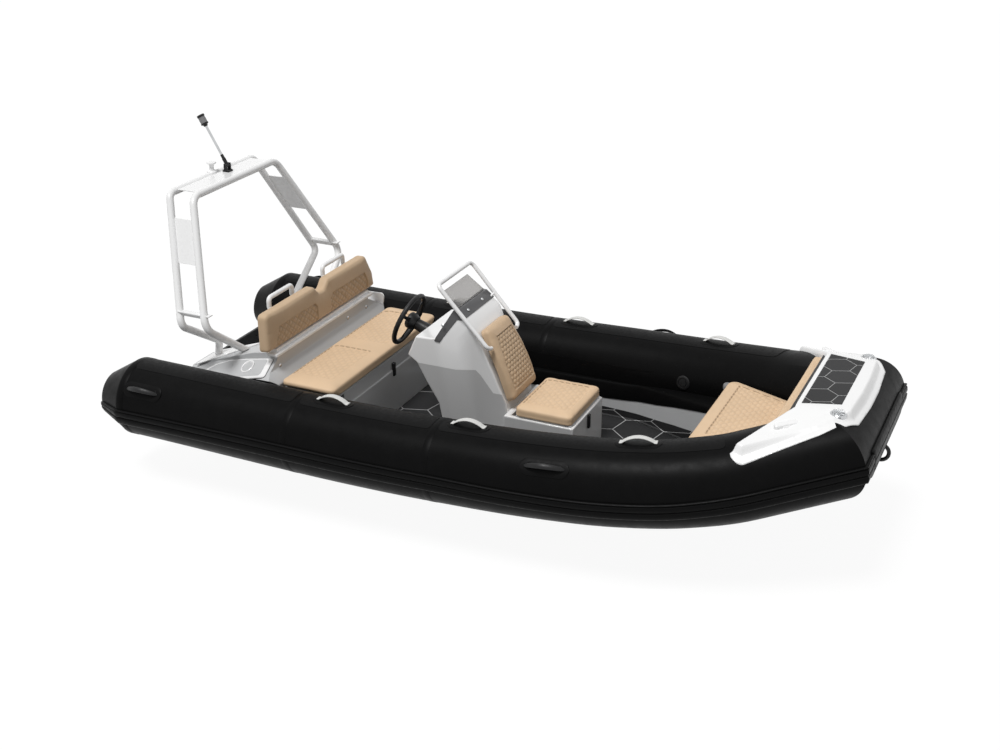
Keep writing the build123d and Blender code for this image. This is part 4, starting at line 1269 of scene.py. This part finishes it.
    def shaded_middle(self):
        """Painted shade and reflection of the glossy cap: its middle in grey paint, with a wide
        white lip left at its forward end.
        """
        leaf = [(0.175, 0.680), (0.24, 0.638), (0.33, 0.614), (0.46, 0.611), (0.632, 0.616),
                (0.638, 0.734), (0.46, 0.740), (0.27, 0.724)]
        radii = [0.012, 0.05, 0.05, 0.07, 0.02, 0.02, 0.07, 0.05]
        rings = [self.on_pod(rounded(leaf, radii, inset, 7), h)
                 for inset, h in ((0, 0.004), (0, 0.0112), (0.004, 0.0108))]
        return skin(np.array(rings))

    def cup(self):
        """A low ring on the cap, as (radius, lift) levels."""
        a = np.linspace(0, 2 * math.pi, 40, endpoint=False)
        levels = [(0.046, 0.006), (0.045, 0.018), (0.042, 0.020), (0.038, 0.018), (0.035, 0.006)]
        rings = [self.on_pod(np.stack([0.50 + r * np.cos(a), 0.668 + r * np.sin(a)], -1), h)
                 for r, h in levels]
        return skin(np.array(rings))

    def bosses(self):
        """Small turned bosses on the wall that the backrest stands on."""
        dome = [(0, -0.004), (0.013, -0.004), (0.013, 0.004), (0.009, 0.008), (0, 0.009)]
        return [turned(dome, at, (1, 0, 0.05), 20)
                for at in ((0.700, -0.585, 0.530), (0.700, 0.30, 0.545), (0.700, 0.56, 0.535))]


class BOAT_OT_latches(Dresser):
    """Rubber pull latches on the seat lockers"""

    bl_idname = "boat.latches"
    bl_label = "Latches"

    def make(self, sizes):
        soften("aft_seat_latch", "bench_latch", 0.003, "black")
        soften("jockey_latch", "jockey_seat_latch", 0.003, "black")


# ---- console and helm ------------------------------------------------------------------------


class BOAT_OT_console(Dresser):
    """Console, windscreen, bracket, rail and helm"""

    bl_idname = "boat.console"
    bl_label = "Console"

    def make(self, sizes):
        soften("console", "console_shell", 0.012, "console", 3)
        soften("screen_bracket", "screen_strap", 0.0015, "dark_metal", 1)
        soften("windscreen", "screen_pane", 0.001, "smoke", 1)
        bolt = [(0, -0.002), (0.011, -0.002), (0.011, 0.003), (0.008, 0.006), (0, 0.007)]
        bent = (0.707, 0, 0.707)
        heads = [turned(bolt, at, out, 20) for at, out in (
            ((1.862, -0.120, 0.948), bent), ((1.862, 0.090, 0.948), bent),
            ((1.755, -0.2705, 0.879), (0, -1, 0)), ((1.755, 0.2705, 0.879), (0, 1, 0)))]
        piece("strap_bolts", heads, "steel", 30)
        dress("white_metal", "grab_rail")
        dress("black", "helm")


class BOAT_OT_wheel(Dresser):
    """Steering wheel with a gripped rim, three spokes and a hub"""

    bl_idname = "boat.wheel"
    bl_label = "Steering wheel"

    def make(self, sizes):
        tilt, rim, grip, fingers = 22 * DEG, 0.176, 0.0165, 36
        centre = np.array([1.362, 0, 0.757])
        out = np.array([-math.cos(tilt), 0, math.sin(tilt)])
        across = np.array([0.0, 1.0, 0.0])
        up = np.cross(out, across)
        a = np.linspace(0, 2 * math.pi, 96, endpoint=False)
        ring = centre + rim * (np.cos(a)[:, None] * across + np.sin(a)[:, None] * up)
        waves = 1 + 0.035 * np.cos(fingers * a)
        shells = [carry(ring, circle(grip, 18), up=out, size=waves, loop=True)]
        for turn in (90, 210, 330):
            d = math.cos(turn * DEG) * across + math.sin(turn * DEG) * up
            s = np.linspace(0.022, 0.174, 14)[:, None]
            dip = 0.022 * (1 - step(s, 0.03, 0.16))
            path = centre + d * s - out * dip
            width = 1.15 - 0.5 * step(s[:, 0], 0.02, 0.1) + 0.35 * step(s[:, 0], 0.12, 0.174)
            section = rounded([(-0.018, -0.004), (0.018, -0.004), (0.018, 0.004), (-0.018, 0.004)],
                              0.003, steps=3)
            shells.append(carry(path, section, up=out, size=width))
        hub = [(0, -0.062), (0.046, -0.062), (0.050, -0.05), (0.056, -0.040), (0.058, -0.012),
               (0.056, -0.002), (0.046, 0.006), (0.028, 0.010), (0, 0.011)]
        shells.append(turned(hub, centre, out, 40))
        piece("helm_wheel", shells, "black", 40, body="steering",
              stands_for=("steering_wheel",))


# ---- arch ------------------------------------------------------------------------------------


class BOAT_OT_arch(Dresser):
    """Arch hoops, plates, feet, bollard and light mast"""

    bl_idname = "boat.arch"
    bl_label = "Arch"

    def make(self, sizes):
        dress("white_metal", "arch_hoop_forward", "arch_hoop_aft", "backrest_handles")
        for node, name in (("arch_feet", "arch_foot_plates"),
                           ("arch_side_plates", "arch_side_panels"),
                           ("arch_brackets", "arch_steps"), ("arch_top_plate", "arch_shelf")):
            soften(node, name, 0.0018, "white_metal")
        rail = slab(box_corners(0.628, 0.699, -0.605, 0.605), 0.002, [(0, 0.619), (0, 0.6527)])
        ledge = slab(box_corners(0.640, 0.722, -0.640, 0.640), [0.004, 0.012, 0.012, 0.004],
                     soft_levels(0.612, 0.630, 0.005))
        piece("backrest_mount", [rail, ledge], "white_metal", 30,
              stands_for=("backrest_rail",))
        bollard = [(0, 0), (0.035, 0), (0.035, 0.009), (0.030, 0.014), (0.017, 0.020),
                   (0.015, 0.038), (0.017, 0.056), (0.029, 0.062), (0.034, 0.067), (0.032, 0.074),
                   (0, 0.076)]
        piece("ski_bollard", [turned(bollard, (-0.145, 0, 1.5905), (0, 0, 1), 40)],
              "white_metal", stands_for=("tow_bollard",))
        soften("light_base", "mast_base", 0.003, "black")
        self.mast()

    def mast(self):
        """The light mast: profiles turned about the line that leans aft from the pivot, and a
        pin across it."""
        pivot = np.array([-0.065, 0.07, 1.634])
        lean_by = 30 * DEG
        along = np.array([-math.sin(lean_by), 0, math.cos(lean_by)])
        for name, finish, slot, stands_for, profiles in (
                ("mast_knuckle", "black", "black_plastic", ("light_mast",), [
                    ((0, 1, 0), 24, [(0, -0.0177), (0.011, -0.0177), (0.011, 0.0177),
                                     (0, 0.0177)]),
                    (along, 24, [(0, -0.008), (0.012, -0.006), (0.013, 0.02), (0.013, 0.05),
                                 (0.011, 0.055), (0.011, 0.078), (0.008, 0.082), (0, 0.082)])]),
                ("mast_pole", "steel", "bright_metal", (), [
                    (along, 20, [(0, 0.07), (0.009, 0.07), (0.009, 0.30), (0, 0.30)])]),
                ("mast_light_caps", "black", "black_plastic", ("light_head",), [
                    (along, 32, [(0, 0.296), (0.013, 0.296), (0.016, 0.306), (0.027, 0.312),
                                 (0.027, 0.320), (0, 0.320)]),
                    (along, 32, [(0, 0.366), (0.027, 0.366), (0.027, 0.378), (0.024, 0.381),
                                 (0, 0.381)])]),
                ("mast_light_lens", "grey", "lens", (), [
                    (along, 32, [(0, 0.320), (0.024, 0.320), (0.025, 0.343), (0.024, 0.366),
                                 (0, 0.366)])])):
            shells = [turned(profile, pivot, axis, sides) for axis, sides, profile in profiles]
            piece(name, shells, finish, body="mast", stands_for=stands_for)


# ---- bow -------------------------------------------------------------------------------------


RIM = [(4.455, 0.120), (4.440, 0.400), (4.385, 0.500), (4.266, 0.597), (3.885, 0.8455),
       (3.790, 0.803), (4.062, 0.420)]
RIM_RADII = [0.2, 0.02, 0.05, 0.10, 0.06, 0.045, 0.012]


class BOAT_OT_bow(Dresser):
    """Bow cover with its lamps and cleats"""

    bl_idname = "boat.bow"
    bl_label = "Bow cover"

    def make(self, sizes):
        fit(self.cover(), finishes()["gelcoat"], stands_for=("bow_cover",))
        seal = slab([(4.044, -0.47), (4.064, -0.44), (4.064, 0.44), (4.044, 0.47)], 0.003,
                    [(0, 0.70), (0, 0.797), (0.003, 0.800)])
        piece("bow_cover_seal", [seal], "black")
        cleats, rings, domes = [], [], []
        for side in SIDES:
            plane = ((4.066, 0.574 * side, 0.777), unit((0.79, -0.61 * side, 0.10)),
                     unit((0.61 * side, 0.79, -0.16 * side)), (0, 0, 1))
            for half_long, half_wide, corner, top, edge in ((0.072, 0.019, 0.018, 0.019, 0.008),
                                                            (0.034, 0.025, 0.020, 0.010, 0.006)):
                box = box_corners(-half_long, half_long, -half_wide, half_wide)
                cleats.append(slab(box, corner, soft_levels(-0.02, top, edge), plane, 8))
            at = (4.3255, 0.428 * side, 0.838)
            rings.append(turned([(0, -0.02), (0.048, -0.02), (0.048, 0.004), (0.045, 0.007),
                                 (0.038, 0.008), (0, 0.008)], at, (0, 0, 1), 40))
            domes.append(turned([(0, 0.006), (0.037, 0.006), (0.037, 0.012), (0.033, 0.018),
                                 (0.02, 0.022), (0, 0.023)], at, (0, 0, 1), 40))
        piece("bow_mooring_cleats", cleats, "gelcoat",
              stands_for=("bow_cleats",))
        piece("bow_lamp_bases", rings, "steel")
        piece("bow_lamp_lenses", domes, "lens", stands_for=("bow_lamps",))

    def cover(self):
        """A moulded cover over a fine square lattice of (x, y) points inside its rounded
        outline. A flange lies on the tubes, and inside it the height rises on a smooth step to
        the deck; at the aft edge it turns down by the cube of what is left of the distance."""
        turn = [(x, -y) for x, y in reversed(RIM)]
        outline = rounded(RIM + turn, RIM_RADII + RIM_RADII[::-1], 0.0, 9)
        run = np.vstack([outline, outline[:1]])
        along = np.concatenate([[0], np.cumsum(np.linalg.norm(np.diff(run, axis=0), axis=1))])
        s = np.linspace(0, along[-1], 760, endpoint=False)
        outline = np.stack([np.interp(s, along, run[:, 0]), np.interp(s, along, run[:, 1])], -1)
        pitch, flange, lip_run, lip_drop = 0.006, (0.030, 0.062), 0.024, 0.11
        x, y = np.meshgrid(np.arange(3.78, 4.46, pitch), np.arange(-0.852, 0.8521, pitch),
                           indexing="ij")
        x, y = x.ravel(), y.ravel()
        keep = polygon_distance(x, y, outline[::4]) < -0.004
        flat = np.concatenate([outline, np.stack([x[keep], y[keep]], -1)])
        ring = [(k, (k + 1) % len(outline)) for k in range(len(outline))]
        points, _, faces, *_ = delaunay_2d_cdt([Vector(p) for p in flat], ring, [], 1, 1e-6)
        flat = np.array(points)
        x, y = flat[:, 0], flat[:, 1]
        outer = [(3.800, -0.802), (3.830, -0.824), (3.885, -0.833), (4.266, -0.597),
                 (4.385, -0.500), (4.440, -0.400), (4.455, -0.12)]
        outer += [(a, -b) for a, b in reversed(outer)]
        inner = [(3.800, 0.789), (4.062, 0.420)]
        inner += [(a, -b) for a, b in reversed(inner)]
        out, inn = line_distance(x, y, outer), line_distance(x, y, inner)
        bend = np.logaddexp(0, 40 * (np.abs(y) - 0.41)) / 40
        deck = 0.846 + 0.035 * (x - 4.1) - 0.37 * bend
        skirt = tube_height(x, y) + 0.009
        z = skirt + np.maximum(deck - skirt, 0.012) * step(out, *flange)
        z -= lip_drop * (1 - np.clip(inn / lip_run, 0, 1)) ** 3
        made = solid("bow_deck_cover", [(np.stack([x, y, z], -1), [list(k) for k in faces])], 60)
        if made.data.polygons[0].normal.z < 0:
            made.data.flip_normals()
        wall = made.modifiers.new("wall", "SOLIDIFY")
        wall.thickness, wall.offset = 0.009, -1
        return made


# ---- panel, registration and main ------------------------------------------------------------


OPERATORS = (BOAT_OT_stage, BOAT_OT_tubes, BOAT_OT_strakes, BOAT_OT_tube_fittings, BOAT_OT_hull,
             BOAT_OT_latches, BOAT_OT_console, BOAT_OT_wheel, BOAT_OT_arch, BOAT_OT_bow,
             BOAT_OT_cushions)


class BOAT_PT_panel(bpy.types.Panel):
    """Lists the boat's sizes, colours and builders"""

    bl_label = "Boat"
    bl_space_type = "VIEW_3D"
    bl_region_type = "UI"
    bl_category = "Boat"

    def draw(self, context):
        for group in (context.scene.boat_sizes, context.scene.boat_colours):
            column = self.layout.column()
            for name in group.__annotations__:
                column.prop(group, name)
        for operator in OPERATORS:
            self.layout.operator(operator.bl_idname)


CLASSES = (BoatSizes, BoatColours, *OPERATORS, BOAT_PT_panel)


def register():
    """Adds the classes and the scene's two groups of properties."""
    for cls in CLASSES:
        bpy.utils.register_class(cls)
    bpy.types.Scene.boat_sizes = PointerProperty(type=BoatSizes)
    bpy.types.Scene.boat_colours = PointerProperty(type=BoatColours)


def unregister():
    """Takes away what register added."""
    del bpy.types.Scene.boat_colours, bpy.types.Scene.boat_sizes
    for cls in reversed(CLASSES):
        bpy.utils.unregister_class(cls)


def main():
    """Builds the stage and every piece."""
    register()
    for operator in OPERATORS:
        group, name = operator.bl_idname.split(".")
        getattr(getattr(bpy.ops, group), name)()


if __name__ == "__main__":
    main()
